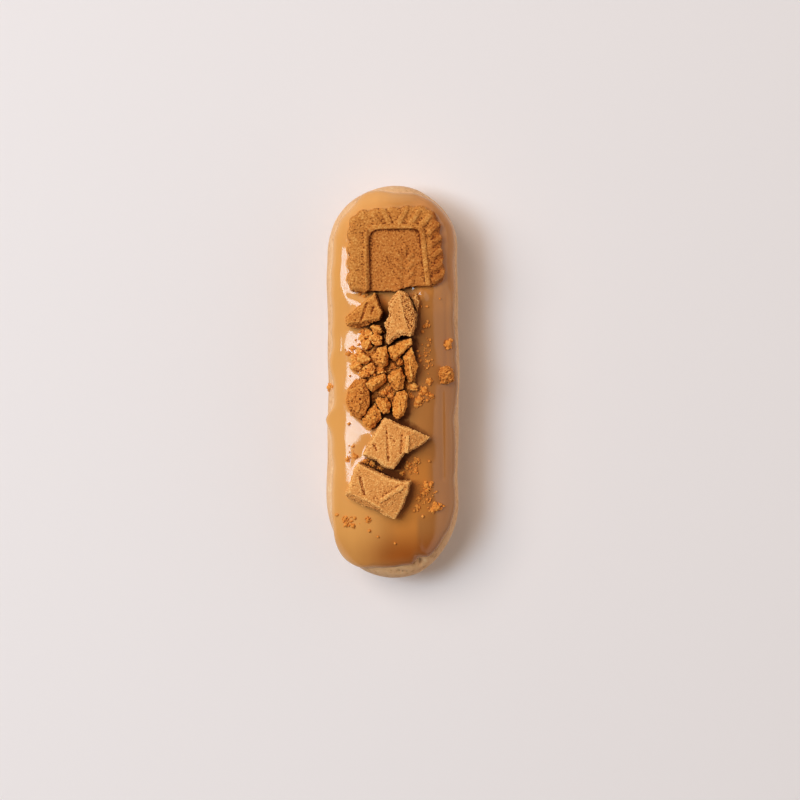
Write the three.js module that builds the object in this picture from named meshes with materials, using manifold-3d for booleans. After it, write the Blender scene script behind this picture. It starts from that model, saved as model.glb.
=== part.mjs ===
// A choux eclair dipped in caramel glaze, topped with half a spiced biscuit, broken biscuit and crumbs.
// Millimetres, +Z up. The eclair lies along Y with its flat underside on Z = 0.
import * as THREE from "three";
import { ParametricGeometry } from "three/addons/geometries/ParametricGeometry.js";
import { mergeVertices } from "three/addons/utils/BufferGeometryUtils.js";
import Module from "manifold-3d";

const wasm = await Module();
wasm.setup();

// Driving dimensions of the choux
const LENGTH = 129;
const WIDTH = 43;
const LOW_END_STRETCH = 1.2; // the lower end is drawn out to this share of a half circle
const CHOUX_HEIGHT = 26;
const BELLY_HEIGHT = 11; // height of the widest line of the sides
const FOOT_DEPTH = 14.5; // how far the lower curve would reach below the belly if the tray didn't cut it flat
const DOME_SQUARENESS = 3.3; // exponent of the cross-section's upper curve, where 2 is an ellipse
const FOOT_SQUARENESS = 2.3; // the same for its lower curve
const LENGTH_DOME = 0.08; // share of the height that is lost from the middle to each end
const OUTLINE_WAVES = [
  { turns: 5, size: 0.008, shift: 0.28 },
  { turns: 3, size: 0.005, shift: 0.7 },
  { turns: 13, size: 0.006, shift: 0.15 },
];
const SIDE_COLUMNS = 16;
const END_COLUMNS = 14;
const CHOUX_ROWS = 15;

// Driving dimensions of the glaze
const GAP = 0.3; // clearance between neighbouring solids
const GLAZE_DEPTH = 1.8; // from the crust to the top of the glaze
const GLAZE_LIP = 0.16; // share of the way up from the edge over which the lip rounds off
const GLAZE_INNER_ROWS = 7;
const GLAZE_OUTER_ROWS = 11;
const GLAZE_ROW_CROWDING = 1.7; // above 1, rows crowd towards the lip
const EDGE_ANGLE = { sides: 31.3, rightwards: -2.2, ends: 13.7, towardsTop: -2 }; // degrees up the cross-section
const EDGE_WAVES = [
  { turns: 9, size: 1.3, shift: 0.2 },
  { turns: 17, size: 0.9, shift: 0.6 },
];
// Drips of the glaze's edge: place about the outline, half-width about the outline, degrees that they run down
const DRIPS = [
  { at: 0.415, reach: 0.022, fall: 17 },
  { at: 0.325, reach: 0.04, fall: 9 },
  { at: 0.545, reach: 0.02, fall: 5 },
  { at: 0.622, reach: 0.014, fall: 10 },
  { at: 0.68, reach: 0.01, fall: 11 },
  { at: 0.826, reach: 0.034, fall: 27 },
  { at: 0.885, reach: 0.035, fall: 2.5 },
  { at: 0.921, reach: 0.008, fall: -6 },
  { at: 0.12, reach: 0.02, fall: 4 },
];

// Driving dimensions of the half biscuit, whole on three sides and broken along its lower edge
const BISCUIT = {
  thickness: 6.2,
  bevel: 1,
  scallopPitch: 5,
  scallopDepth: 0.8,
  panelDepth: 0.5,
  frameHeight: 0.8,
  frameBevel: 0.7,
  centre: [1.2, 42.7],
  sink: 3,
  tilt: [-3.5, 1.6],
};
const BISCUIT_EDGE = { right: [15.9, -9], topRight: [13.7, 14.6], topLeft: [-15.9, 13.4], left: [-15.9, -11.8] };
const BISCUIT_CORNER = 8;
const FRACTURE = [
  [-14.6, -13.2], [-12.8, -13.5], [-10.4, -14], [-8.6, -13.3], [-6, -13.6], [-2.4, -13.2], [-0.2, -13.7],
  [1.9, -12.7], [4.5, -12.1], [7.4, -11.8], [10.4, -12], [13, -11.3], [15, -9.8],
];
const PANEL = { topLeft: [-9, 6.3], topRight: [7.2, 6.6], bottomRight: [10, -18], bottomLeft: [-8.4, -18] };
const PANEL_CORNERS = { left: 3.8, right: 1.8 };
const FRAME = { topLeft: [-10.7, 8], topRight: [8.8, 8.3], bottomRight: [11.8, -18], bottomLeft: [-10.2, -18] };
const FRAME_CORNERS = { left: 5, right: 3 };
// Slanting ribs of the border: [x, y, lean in degrees, length between round ends, height above the border]
const RIB_RADIUS = 1.35;
const RIBS = [
  [2, 10.9, 62, 4.6, 0.85], [5.8, 10.3, 55, 4.2, 0.85], [9.2, 9.2, 46, 3.6, 0.85], [11.7, 6.6, 47, 3.6, 0.85],
  [12.9, 2.9, 41, 3.3, 0.85], [13.3, -1, 41, 3.3, 0.85], [13.6, -5, 41, 3.3, 0.85], [13.7, -8.8, 41, 3.3, 0.85],
  [-3.5, 10.8, 117, 4.4, 0.8], [-6.8, 9.6, 122, 3.4, 0.5], [-10, 9.2, 132, 3, 0.35], [-12.6, 6.6, 135, 3, 0.3],
  [-13.2, 2.8, 138, 2.6, 0.3], [-13.2, -1.1, 138, 2.6, 0.3], [-13.2, -5, 138, 2.6, 0.35], [-13, -8.9, 138, 2.6, 0.4],
];
const EAR = { x: 2.6, top: -2.2, pairs: 4, pitch: 2.9, spread: 1.9, lean: 38, proud: 0.7 };
const EAR_GRAIN = { length: 2.2, width: 1.05 };

// Broken pieces, each by its outline from above, its thickness and how it lies on the glaze.
// tilt turns it about X and Y in degrees, sink is the depth of its underside in the glaze at its middle.
const SHARD_THICKNESS = 6.2;
// Bars of the pattern on the broken slabs: radius and height of a ridge, radius and depth of a groove
const PATTERN = { ridge: 1.1, ridgeHeight: 0.75, groove: 0.5, grooveDepth: 0.5 };
const SHARDS = [
  {
    name: "shard_tall",
    outline: [
      [1.6, 29], [3.8, 28], [5.4, 25.1], [7, 21.3], [6.4, 16.8], [5.8, 14.7], [2.2, 14.9], [0, 12.9],
      [-1.9, 11.6], [-2.6, 13.3], [-2.2, 16.8], [-2.9, 18.4], [-1.6, 21.3], [-1.6, 25.1], [0, 27.6],
    ],
    thickness: 8.4, bevel: 0.9, tilt: [3, -8], sink: 1.2, seed: 11, rough: 0.3,
    breaks: [[5.4, 15, 1.4, 29, 38]],
  },
  {
    name: "shard_upper",
    outline: [
      [-2.6, -11.4], [2.2, -13.5], [5.8, -14.9], [12.2, -17.4], [8.6, -20.3], [3.8, -23.2], [0.3, -28],
      [-2.6, -27.2], [-5.1, -25.1], [-9.6, -23.2], [-7, -18.7], [-4.5, -14.4],
    ],
    thickness: SHARD_THICKNESS, bevel: 0.6, tilt: [-4, 2], sink: 0.7, seed: 12, rough: 0.22,
    ridges: [[4.7, -17.6, 4.4, -22]],
    grooves: [[-2, -14.8, -1.4, -25.4], [3, -17, 2.6, -22.8], [-6.2, -19.8, -5.2, -21.8]],
    breaks: [[4.6, -24, 6.6, -14, 24]],
  },
  {
    name: "shard_lower",
    outline: [
      [-12.2, -27.4], [-10.9, -26], [-7.4, -27.6], [-4.2, -29.2], [-1, -30.8], [2.2, -31.7], [5.4, -31.8],
      [4.5, -35.7], [2.6, -40.5], [0.3, -44.3], [-4.5, -42], [-9.7, -39.8], [-14.7, -37.8],
      [-15.6, -36.4], [-13.8, -32.5],
    ],
    thickness: SHARD_THICKNESS, bevel: 0.6, tilt: [3, -6], sink: 0.9, seed: 13, rough: 0.22,
    ridges: [[-3.8, -38, 3, -33.6]],
    grooves: [[-10.6, -30.6, -9.2, -36]],
    breaks: [[-15.4, -35, 0.6, -42.4, 42], [-3.6, -39.4, 5.6, -33.8, 16]],
  },
  {
    name: "shard_left",
    outline: [
      [-15.4, 20.6], [-10.7, 24.6], [-6.1, 28.4], [-4.8, 25.4], [-3.4, 22.2], [-4.2, 19.9], [-8, 18.4],
      [-12.2, 17.2], [-15, 18],
    ],
    thickness: SHARD_THICKNESS, bevel: 0.6, tilt: [3, -8], sink: 0.9, seed: 14, rough: 0.22,
    grooves: [[-8.3, 25.2, -9.5, 22], [-9.5, 22, -10.3, 19.4], [-6.3, 23.9, -6.9, 21.8]],
    breaks: [[-15.2, 18.4, -3.8, 20.8, 48]],
  },
  {
    name: "shard_behind",
    outline: [[5, 26.2], [7.7, 28.3], [8.3, 25.4], [8.1, 21.2], [7.2, 18.6], [6, 20]],
    thickness: 4.2, bevel: 0.7, tilt: [0, 6], sink: 1.2, seed: 15, rough: 0.35,
  },
];
const CHUNKS = [
  {
    name: "chunk_left",
    outline: [
      [-15.4, -5.6], [-14.7, -1.8], [-11.8, 0.8], [-9.3, 0.5], [-8.3, -3], [-8, -6.9], [-9.3, -10.1],
      [-10.9, -12], [-13.1, -10.4], [-15, -8.5],
    ],
    thickness: 6.6, bevel: 1.6, tilt: [0, -11], sink: 1.3, seed: 21, rough: 0.42,
  },
  {
    name: "chunk_low",
    outline: [
      [-10.1, -12.2], [-8.6, -9.6], [-6.1, -7.5], [-4.5, -9.1], [-4.2, -11.7], [-5.8, -14.2], [-7.4, -15.2],
      [-9.3, -14.2],
    ],
    thickness: 5.2, bevel: 1.4, tilt: [6, -5], sink: 1.1, seed: 22, rough: 0.4,
  },
  {
    name: "chunk_right",
    outline: [
      [0.6, -6.9], [1.6, -3.7], [3.8, -2.7], [5.1, -4.3], [4.8, -8.2], [3.8, -10.7], [1.9, -12], [0.6, -10.4],
    ],
    thickness: 5.8, bevel: 1.2, tilt: [0, 8], sink: 1.1, seed: 23, rough: 0.36,
  },
  {
    name: "chunk_middle",
    outline: [
      [-5.4, -5.9], [-4.5, -5], [-1.9, -5], [-0.6, -7.2], [-1.6, -9.8], [-2.9, -10.4], [-4.5, -8.5],
    ],
    thickness: 5, bevel: 1.2, tilt: [-4, 0], sink: 1, seed: 24, rough: 0.36,
  },
  {
    name: "chunk_heart",
    outline: [
      [-1.3, 1.4], [0.6, 3.4], [2.9, 4.3], [3.8, 1.4], [3.2, -1.8], [1.6, -3], [-0.3, -1.1],
    ],
    thickness: 6.4, bevel: 1.2, tilt: [5, 4], sink: 0.8, seed: 25, rough: 0.38,
  },
  {
    name: "chunk_wedge",
    outline: [[-9, -0.5], [-6.7, 1.4], [-2.6, 3], [-1.9, 1.4], [-4.2, -1.1], [-7, -2.7]],
    thickness: 6, bevel: 1, tilt: [-5, -4], sink: 0.8, seed: 26, rough: 0.36,
  },
  {
    name: "chunk_crown",
    outline: [
      [-6.4, 7.8], [-4.5, 10.4], [-2.2, 11.2], [-1.6, 8.5], [-2.2, 5.3], [-3.8, 4.6], [-5.4, 5.9],
    ],
    thickness: 7, bevel: 1.3, tilt: [4, -6], sink: 0.6, seed: 27, rough: 0.36,
  },
  {
    name: "chunk_slab",
    outline: [[-1.3, 10.5], [2.2, 12.4], [6.1, 13.8], [6.4, 11.7], [3.5, 9.1], [1, 6.2], [-1, 7.8]],
    thickness: 6.2, bevel: 1, tilt: [8, 5], sink: 0.7, seed: 28, rough: 0.4,
  },
  {
    name: "chunk_edge",
    outline: [
      [3.8, 8], [5.8, 10.8], [6.9, 8.5], [8.3, 5], [7.4, 2.7], [5.8, 0.2], [4.4, 2.7], [4.6, 5.3],
    ],
    thickness: 6, bevel: 1.2, tilt: [0, 9], sink: 1, seed: 29, rough: 0.42,
  },
  {
    name: "chunk_side",
    outline: [
      [16, 2.8], [17.2, 4.8], [19.3, 5], [20.8, 3], [20.7, 0.6], [19, -0.9], [17.2, -0.3],
    ],
    thickness: 5.2, bevel: 1.5, tilt: [0, 34], sink: 1.7, seed: 30, rough: 0.4,
  },
];

// The heap that the chunks lie in: a low bed with lumps on it, each [x, y, radius, height above the glaze]
const HEAP_BED = { centre: [-1.6, 3.4], reach: [10.6, 15.4], height: 3.4, rise: 1.7, rough: 0.3, seed: 40 };
const HEAP_LUMPS = [
  [-5.2, 17, 2.2, 2.4], [-5.3, 13.2, 2, 2.6], [-8.4, 12, 2, 1.6], [-9.6, 14.4, 1.6, 1], [-7.6, 15.4, 1.6, 1.6],
  [-9.4, 7.4, 2.3, 2], [-11.4, 4.9, 2, 1.2], [-12, 7.4, 1.5, 0.8], [-9.2, 3, 1.9, 1.4], [-7, 4.2, 1.7, 1.8],
  [1.6, 3.9, 1.5, 1.4], [2.4, 6.6, 1.5, 2], [-2.4, -2.8, 1.5, 1.2], [-0.6, -4.2, 1.3, 1], [-3.3, 2.6, 1.4, 2.4],
  [8.4, 7.4, 1.4, 0.8], [8.7, 3.8, 1.3, 0.6], [6.6, -1.6, 1.5, 0.9], [-3.4, 20.4, 1.3, 0.9], [-10.5, 9.6, 1.1, 0.6],
];
const HEAP_FILLERS = { count: 10, radius: [0.9, 1.4], rise: 2.2, spread: 0.85, seed: 41 };
const LUMP = { rough: 0.22, stretch: [0.85, 1.2], flatten: [0.75, 1], seed: 141, fillerSeed: 241 };

// Loose crumbs on the glaze: [x, y, radius]
const CRUMBS = [
  [11.2, 19.6, 0.7], [10.8, 18.2, 1], [12, 13.5, 0.8], [11.4, 11.8, 0.75], [9.6, 16.2, 0.8], [10.6, 8.4, 0.7],
  [11.2, 6.6, 0.7], [11, 4.4, 0.65], [10.2, -2.8, 1.4], [9.2, -3.9, 0.9], [12, 0.1, 1.1], [12.3, -4.5, 1],
  [11.1, -5.9, 0.8], [8.2, -6.2, 1.5], [7.4, -7.6, 0.9], [18, 12.4, 1.5], [-14.3, 9.1, 0.95], [-13, 10.9, 0.85],
  [-20, -1.7, 1.3], [-12.9, -20.7, 0.7], [-12, -24, 0.9], [-14.6, -24.9, 0.9], [11.8, -25.6, 0.75],
  [7.4, -25.6, 1.3], [7.4, -28.6, 0.9], [10.7, -33.5, 1.3], [12.2, -33.1, 1], [10.9, -35.1, 1], [9.8, -36, 0.9],
  [8.4, -37.4, 1], [7.9, -40.4, 1], [6.8, -41.6, 0.8], [9.6, -43.4, 0.65], [11.1, -37.9, 0.75], [14.1, -35.4, 0.6],
  [13.9, -40.5, 1.75], [12.8, -41.6, 1], [16.5, -40.1, 0.75], [-18.2, -43, 0.8], [-15.5, -44.3, 1],
  [-15.2, -46.2, 0.9], [-12.3, -44, 0.8], [-12.9, -46.4, 0.9], [-8, -44.5, 0.95], [-7.6, -48.1, 0.75],
  [-4.8, -50, 0.6], [0.7, -52.1, 0.6], [-8.7, -25.4, 1], [-6.3, -26.4, 1.05], [-4, -27.8, 0.9], [4.8, -27, 1.1],
  [5.5, -29.3, 0.8], [3.2, -29.2, 0.85],
];
const CRUMB = { rough: 0.18, lift: 0.35, seed: 300 }; // roughness and lift are shares of the radius

const HALF_WIDTH = WIDTH / 2;
const HALF_LENGTH = LENGTH / 2;
const SPINE = HALF_LENGTH - HALF_WIDTH; // the ends are rounded about the spine's ends
const LOW_SPINE = HALF_LENGTH - LOW_END_STRETCH * HALF_WIDTH;
const COLUMNS = 2 * (SIDE_COLUMNS + END_COLUMNS);
const DOME_RISE = CHOUX_HEIGHT - BELLY_HEIGHT;
const RIDGE = Math.PI / 2;
const FOOT_ANGLE = -Math.asin((BELLY_HEIGHT / FOOT_DEPTH) ** (FOOT_SQUARENESS / 2));
const WELD = 1e-3; // corners nearer than this are one
const CUT_REACH = 40; // longer than any piece that a plane cuts
const { lerp, degToRad, clamp } = THREE.MathUtils;

// Seeded draws
function drawer(seed) {
  let state = seed;
  return () => {
    state = (state + 0x6d2b79f5) | 0;
    let mixed = Math.imul(state ^ (state >>> 15), 1 | state);
    mixed = (mixed + Math.imul(mixed ^ (mixed >>> 7), 61 | mixed)) ^ mixed;
    return ((mixed ^ (mixed >>> 14)) >>> 0) / 4294967296;
  };
}

// Solids
function solidOf(geometry) {
  const bare = new THREE.BufferGeometry();
  bare.setAttribute("position", geometry.getAttribute("position"));
  bare.setIndex(geometry.index);
  const merged = mergeVertices(bare, WELD);
  const corners = merged.index.array;
  const triangles = [];
  for (let i = 0; i < corners.length; i += 3) {
    const [a, b, c] = corners.slice(i, i + 3);
    if (a !== b && b !== c && c !== a) triangles.push(a, b, c);
  }
  const vertProperties = merged.getAttribute("position").array;
  return new wasm.Manifold(new wasm.Mesh({ numProp: 3, vertProperties, triVerts: Uint32Array.from(triangles) }));
}

function geometryOf(solid) {
  const mesh = solid.getMesh();
  const geometry = new THREE.BufferGeometry();
  geometry.setAttribute("position", new THREE.BufferAttribute(Float32Array.from(mesh.vertProperties), 3));
  geometry.setIndex(new THREE.BufferAttribute(Uint32Array.from(mesh.triVerts), 1));
  geometry.computeVertexNormals();
  return geometry;
}

function largestBody(solid) {
  return solid.decompose().reduce((best, body) => (body.volume() > best.volume() ? body : best));
}

function positionsOnly(geometry) {
  geometry.deleteAttribute("normal");
  geometry.deleteAttribute("uv");
  return mergeVertices(geometry, WELD);
}

function roughened(geometry, amount, seed) {
  const draw = drawer(seed);
  const merged = positionsOnly(geometry);
  const place = merged.getAttribute("position");
  for (let i = 0; i < place.count; i++) {
    const [x, y, z] = [place.getX(i), place.getY(i), place.getZ(i)];
    const nudge = () => amount * (2 * draw() - 1);
    place.setXYZ(i, x + nudge(), y + nudge(), z + nudge());
  }
  return merged;
}

// The same shape moved out along its vertex normals, for cutting clearance round a neighbour
function grown(geometry, margin) {
  const merged = positionsOnly(geometry.clone());
  merged.computeVertexNormals();
  const place = merged.getAttribute("position");
  const normal = merged.getAttribute("normal");
  for (let i = 0; i < place.count; i++) {
    place.setXYZ(
      i,
      place.getX(i) + margin * normal.getX(i),
      place.getY(i) + margin * normal.getY(i),
      place.getZ(i) + margin * normal.getZ(i),
    );
  }
  return merged;
}

// The loaf's form
function station(around) {
  const column = (around % 1) * COLUMNS;
  const quarters = [SIDE_COLUMNS, END_COLUMNS, SIDE_COLUMNS, END_COLUMNS];
  let quarter = 0;
  let rest = column;
  while (quarter < 3 && rest > quarters[quarter]) {
    rest -= quarters[quarter];
    quarter += 1;
  }
  const share = rest / quarters[quarter];
  if (quarter === 0) return { spineY: lerp(-LOW_SPINE, SPINE, share), direction: 0 };
  if (quarter === 1) return { spineY: SPINE, direction: Math.PI * share };
  if (quarter === 2) return { spineY: lerp(SPINE, -LOW_SPINE, share), direction: Math.PI };
  return { spineY: -LOW_SPINE, direction: Math.PI * (1 + share) };
}

function stretchAt(spineY) {
  return spineY <= -LOW_SPINE ? LOW_END_STRETCH : 1;
}

function waveSum(waves, around) {
  return waves.reduce((sum, w) => sum + w.size * Math.cos(2 * Math.PI * (w.turns * around + w.shift)), 0);
}

// A point on the crust, or at a depth of glaze above it: angle climbs from the underside to the ridge
function loafPoint(around, angle, coat, target) {
  const { spineY, direction } = station(around);
  const reach = HALF_WIDTH * (1 + waveSum(OUTLINE_WAVES, around));
  const [rise, power] = angle > 0 ? [DOME_RISE, DOME_SQUARENESS] : [FOOT_DEPTH, FOOT_SQUARENESS];
  const across = Math.max(0, Math.cos(angle)) ** (2 / power);
  const up = Math.sign(angle) * Math.abs(Math.sin(angle)) ** (2 / power);
  const normal = new THREE.Vector2(across ** (power - 1) / reach, Math.abs(up) ** (power - 1) / rise);
  normal.normalize();
  const radius = angle >= RIDGE ? 0 : reach * across + coat * normal.x;
  const y = spineY + radius * Math.sin(direction) * stretchAt(spineY);
  const dome = 1 - LENGTH_DOME * (y / HALF_LENGTH) ** 2;
  const height = Math.max(0, BELLY_HEIGHT + rise * up) + coat * normal.y;
  target.set(radius * Math.cos(direction), y, height * dome);
}

function edgeAngle(around) {
  const { direction } = station(around);
  const right = Math.cos(direction);
  const top = Math.sin(direction);
  let degrees = EDGE_ANGLE.sides + EDGE_ANGLE.rightwards * right + EDGE_ANGLE.ends * top * top;
  degrees += EDGE_ANGLE.towardsTop * top + waveSum(EDGE_WAVES, around);
  for (const drip of DRIPS) {
    const away = around - drip.at - Math.round(around - drip.at);
    degrees -= drip.fall * Math.exp(-((away / drip.reach) ** 2));
  }
  return degToRad(degrees);
}

function lipShare(share) {
  const inset = 1 - Math.min(1, share / GLAZE_LIP);
  return Math.sqrt(1 - inset * inset);
}

function glazeTop(around, share, margin, target) {
  const angle = lerp(edgeAngle(around), RIDGE, share);
  loafPoint(around, angle, GAP + (GLAZE_DEPTH - GAP) * lipShare(share) + margin, target);
}

function chouxGeometry() {
  const levelAngle = (row) =>
    row < 1 ? lerp(-RIDGE, FOOT_ANGLE, row) : lerp(FOOT_ANGLE, RIDGE, (row - 1) / (CHOUX_ROWS - 1));
  const crust = (around, v, target) => loafPoint(around, levelAngle(v * CHOUX_ROWS), 0, target);
  return new ParametricGeometry(crust, COLUMNS, CHOUX_ROWS);
}

function glazeGeometry() {
  const rows = GLAZE_INNER_ROWS + GLAZE_OUTER_ROWS;
  const coat = (around, v, target) => {
    const row = v * rows;
    if (row < GLAZE_INNER_ROWS) {
      const angle = lerp(RIDGE, edgeAngle(around), row / GLAZE_INNER_ROWS);
      loafPoint(around, angle, GAP, target);
    } else {
      const share = ((row - GLAZE_INNER_ROWS) / GLAZE_OUTER_ROWS) ** GLAZE_ROW_CROWDING;
      glazeTop(around, share, 0, target);
    }
  };
  return new ParametricGeometry(coat, COLUMNS, rows);
}

// The space that the glazed loaf takes up, with clearance, for fitting the toppings to it
function glazeCutter() {
  const rows = GLAZE_OUTER_ROWS + 1;
  const space = (around, v, target) => {
    const row = v * rows;
    if (row < 1) {
      glazeTop(around, 0, GAP, target);
      const { spineY } = station(around);
      target.lerp(new THREE.Vector3(0, spineY, BELLY_HEIGHT), 1 - row);
    } else {
      glazeTop(around, ((row - 1) / GLAZE_OUTER_ROWS) ** GLAZE_ROW_CROWDING, GAP, target);
    }
  };
  return solidOf(new ParametricGeometry(space, COLUMNS, rows));
}

// Height of the glaze above a place in plan
function glazeHeight(x, y) {
  const spineY = clamp(y, -LOW_SPINE, SPINE);
  const outward = (across, along) => [across, (along - spineY) / stretchAt(spineY)];
  const [right, up] = outward(x, y);
  const direction = Math.atan2(up, right);
  const around = placeAbout(spineY, direction);
  const point = new THREE.Vector3();
  let low = 0;
  let high = 1;
  for (let i = 0; i < 24; i++) {
    const middle = (low + high) / 2;
    glazeTop(around, middle, 0, point);
    if (Math.hypot(...outward(point.x, point.y)) > Math.hypot(right, up)) low = middle;
    else high = middle;
  }
  return point.z;
}

function placeAbout(spineY, direction) {
  const alongSide = (spineY + LOW_SPINE) / (SPINE + LOW_SPINE);
  const turned = (direction + 2 * Math.PI) % (2 * Math.PI);
  let columns = SIDE_COLUMNS * alongSide;
  if (spineY >= SPINE) columns = SIDE_COLUMNS + (END_COLUMNS * turned) / Math.PI;
  else if (spineY <= -LOW_SPINE) columns = 2 * SIDE_COLUMNS + END_COLUMNS * (turned / Math.PI);
  else if (Math.cos(direction) < 0) columns = SIDE_COLUMNS * (2 - alongSide) + END_COLUMNS;
  return (columns % COLUMNS) / COLUMNS;
}

// Toppings
// Leans a piece about the middle of its upper face and sets it on the glaze
function laid(geometry, x, y, thickness, sink, tilt) {
  const lean = new THREE.Euler(degToRad(tilt[0]), degToRad(tilt[1]), 0);
  geometry.translate(0, 0, -thickness);
  geometry.applyMatrix4(new THREE.Matrix4().makeRotationFromEuler(lean));
  return geometry.translate(x, y, glazeHeight(x, y) + thickness - sink);
}

function middleOf(outline) {
  const sum = outline.reduce(([sx, sy], [x, y]) => [sx + x, sy + y], [0, 0]);
  return [sum[0] / outline.length, sum[1] / outline.length];
}

function plate(points, thickness, bevel, steps = 1) {
  const shape = new THREE.Shape(points.map(([x, y]) => new THREE.Vector2(x, y)));
  const options = { depth: thickness - 2 * bevel, steps, bevelThickness: bevel, bevelSize: bevel };
  options.bevelOffset = -bevel;
  options.bevelSegments = 1;
  return new THREE.ExtrudeGeometry(shape, options).translate(0, 0, bevel);
}

// A round bar across a piece from one place to another, for its pattern of ridges and grooves
function patternBar([x1, y1, x2, y2], [cx, cy], radius, height) {
  const bar = new THREE.CapsuleGeometry(radius, Math.hypot(x2 - x1, y2 - y1), 2, 6);
  bar.rotateZ(Math.atan2(y2 - y1, x2 - x1) - Math.PI / 2);
  return solidOf(bar.translate((x1 + x2) / 2 - cx, (y1 + y2) / 2 - cy, height));
}

// A slanting break: takes off what lies above a plane that falls away to the right of a line
function breakCutter([x1, y1, x2, y2, slope], [cx, cy], top) {
  const block = new THREE.BoxGeometry(CUT_REACH, 2 * CUT_REACH, CUT_REACH);
  block.translate(CUT_REACH / 2, 0, CUT_REACH / 2);
  block.rotateY(degToRad(slope));
  block.rotateZ(Math.atan2(y2 - y1, x2 - x1) - Math.PI / 2);
  return solidOf(block.translate(x1 - cx, y1 - cy, top));
}

function fragmentGeometry(piece) {
  const { outline, thickness, bevel, tilt, sink, seed, rough, ridges = [], grooves = [], breaks = [] } = piece;
  const [cx, cy] = middleOf(outline);
  const local = outline.map(([x, y]) => [x - cx, y - cy]);
  const { ridge, ridgeHeight, groove, grooveDepth } = PATTERN;
  const ridgeMiddle = thickness + ridgeHeight - ridge;
  const grooveMiddle = thickness - grooveDepth + groove;
  let solid = solidOf(roughened(plate(local, thickness, bevel, 2), rough, seed));
  for (const line of ridges) solid = solid.add(patternBar(line, [cx, cy], ridge, ridgeMiddle));
  for (const line of grooves) solid = solid.subtract(patternBar(line, [cx, cy], groove, grooveMiddle));
  for (const line of breaks) solid = solid.subtract(breakCutter(line, [cx, cy], thickness));
  return laid(geometryOf(largestBody(solid)), cx, cy, thickness, sink, tilt);
}

// A four-sided outline with its two upper corners rounded
function framed({ topLeft, topRight, bottomRight, bottomLeft }, corners) {
  const towards = (from, to, corner) => {
    const step = new THREE.Vector2(to[0] - from[0], to[1] - from[1]).setLength(corner);
    return [from[0] + step.x, from[1] + step.y];
  };
  const shape = new THREE.Shape();
  shape.moveTo(...bottomLeft);
  shape.lineTo(...bottomRight);
  shape.lineTo(...towards(topRight, bottomRight, corners.right));
  shape.quadraticCurveTo(...topRight, ...towards(topRight, topLeft, corners.right));
  shape.lineTo(...towards(topLeft, topRight, corners.left));
  shape.quadraticCurveTo(...topLeft, ...towards(topLeft, bottomLeft, corners.left));
  return shape;
}

function biscuitOutline() {
  const { scallopPitch, scallopDepth } = BISCUIT;
  const { right, topRight, topLeft, left } = BISCUIT_EDGE;
  const corner = BISCUIT_CORNER;
  const edge = new THREE.Shape();
  edge.moveTo(...right);
  edge.lineTo(lerp(topRight[0], right[0], corner / (topRight[1] - right[1])), topRight[1] - corner);
  edge.quadraticCurveTo(...topRight, topRight[0] - corner, topRight[1]);
  edge.lineTo(topLeft[0] + corner, topLeft[1]);
  edge.quadraticCurveTo(...topLeft, topLeft[0], topLeft[1] - corner);
  edge.lineTo(...left);
  const scallops = Math.round(edge.getLength() / scallopPitch);
  const perScallop = 4;
  const points = [];
  for (let i = 0; i <= scallops * perScallop; i++) {
    const share = i / (scallops * perScallop);
    const at = edge.getPointAt(share);
    const along = edge.getTangentAt(share);
    const dip = scallopDepth * (1 - Math.abs(Math.sin((Math.PI * i) / perScallop)));
    points.push([at.x - along.y * dip, at.y + along.x * dip]);
  }
  return [...points, ...FRACTURE];
}

function raised(shape, from, to, bevel = 0) {
  const options = { depth: to - from - 2 * bevel, curveSegments: 4, bevelEnabled: bevel > 0, bevelSegments: 2 };
  Object.assign(options, { bevelThickness: bevel, bevelSize: bevel, bevelOffset: -bevel });
  return solidOf(new THREE.ExtrudeGeometry(shape, options).translate(0, 0, from + bevel));
}

function ribBar([x, y, lean, length, proud], top) {
  const bar = new THREE.CapsuleGeometry(RIB_RADIUS, length, 2, 6);
  bar.rotateZ(degToRad(lean) - Math.PI / 2);
  return solidOf(bar.translate(x, y, top + proud - RIB_RADIUS));
}

// A plain ear of wheat pressed in relief on the panel
function wheatEar(floor) {
  const grains = [];
  const press = (x, y, lean) => {
    const grain = new THREE.SphereGeometry(1, 7, 5).scale(EAR_GRAIN.width, EAR_GRAIN.length, EAR_GRAIN.width);
    grain.rotateZ(degToRad(lean));
    grains.push(solidOf(grain.translate(x, y, floor + EAR.proud - EAR_GRAIN.width)));
  };
  press(EAR.x, EAR.top + EAR_GRAIN.length, 0);
  for (let i = 0; i < EAR.pairs; i++) {
    press(EAR.x - EAR.spread, EAR.top - i * EAR.pitch, EAR.lean);
    press(EAR.x + EAR.spread, EAR.top - i * EAR.pitch, -EAR.lean);
  }
  return grains;
}

function biscuitGeometry() {
  const { thickness, bevel, panelDepth, frameHeight, frameBevel } = BISCUIT;
  const top = thickness;
  const outline = biscuitOutline();
  let solid = solidOf(plate(outline, thickness, bevel));
  for (const rib of RIBS) solid = solid.add(ribBar(rib, top));
  solid = solid.add(raised(framed(FRAME, FRAME_CORNERS), top - thickness / 2, top + frameHeight, frameBevel));
  solid = solid.subtract(raised(framed(PANEL, PANEL_CORNERS), top - panelDepth, CUT_REACH));
  for (const grain of wheatEar(top - panelDepth)) solid = solid.add(grain);
  const edge = new THREE.Shape(outline.map(([x, y]) => new THREE.Vector2(x, y)));
  const trimmed = largestBody(solid.intersect(raised(edge, -thickness, CUT_REACH)));
  return laid(geometryOf(trimmed), ...BISCUIT.centre, thickness, BISCUIT.sink, BISCUIT.tilt);
}

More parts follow.
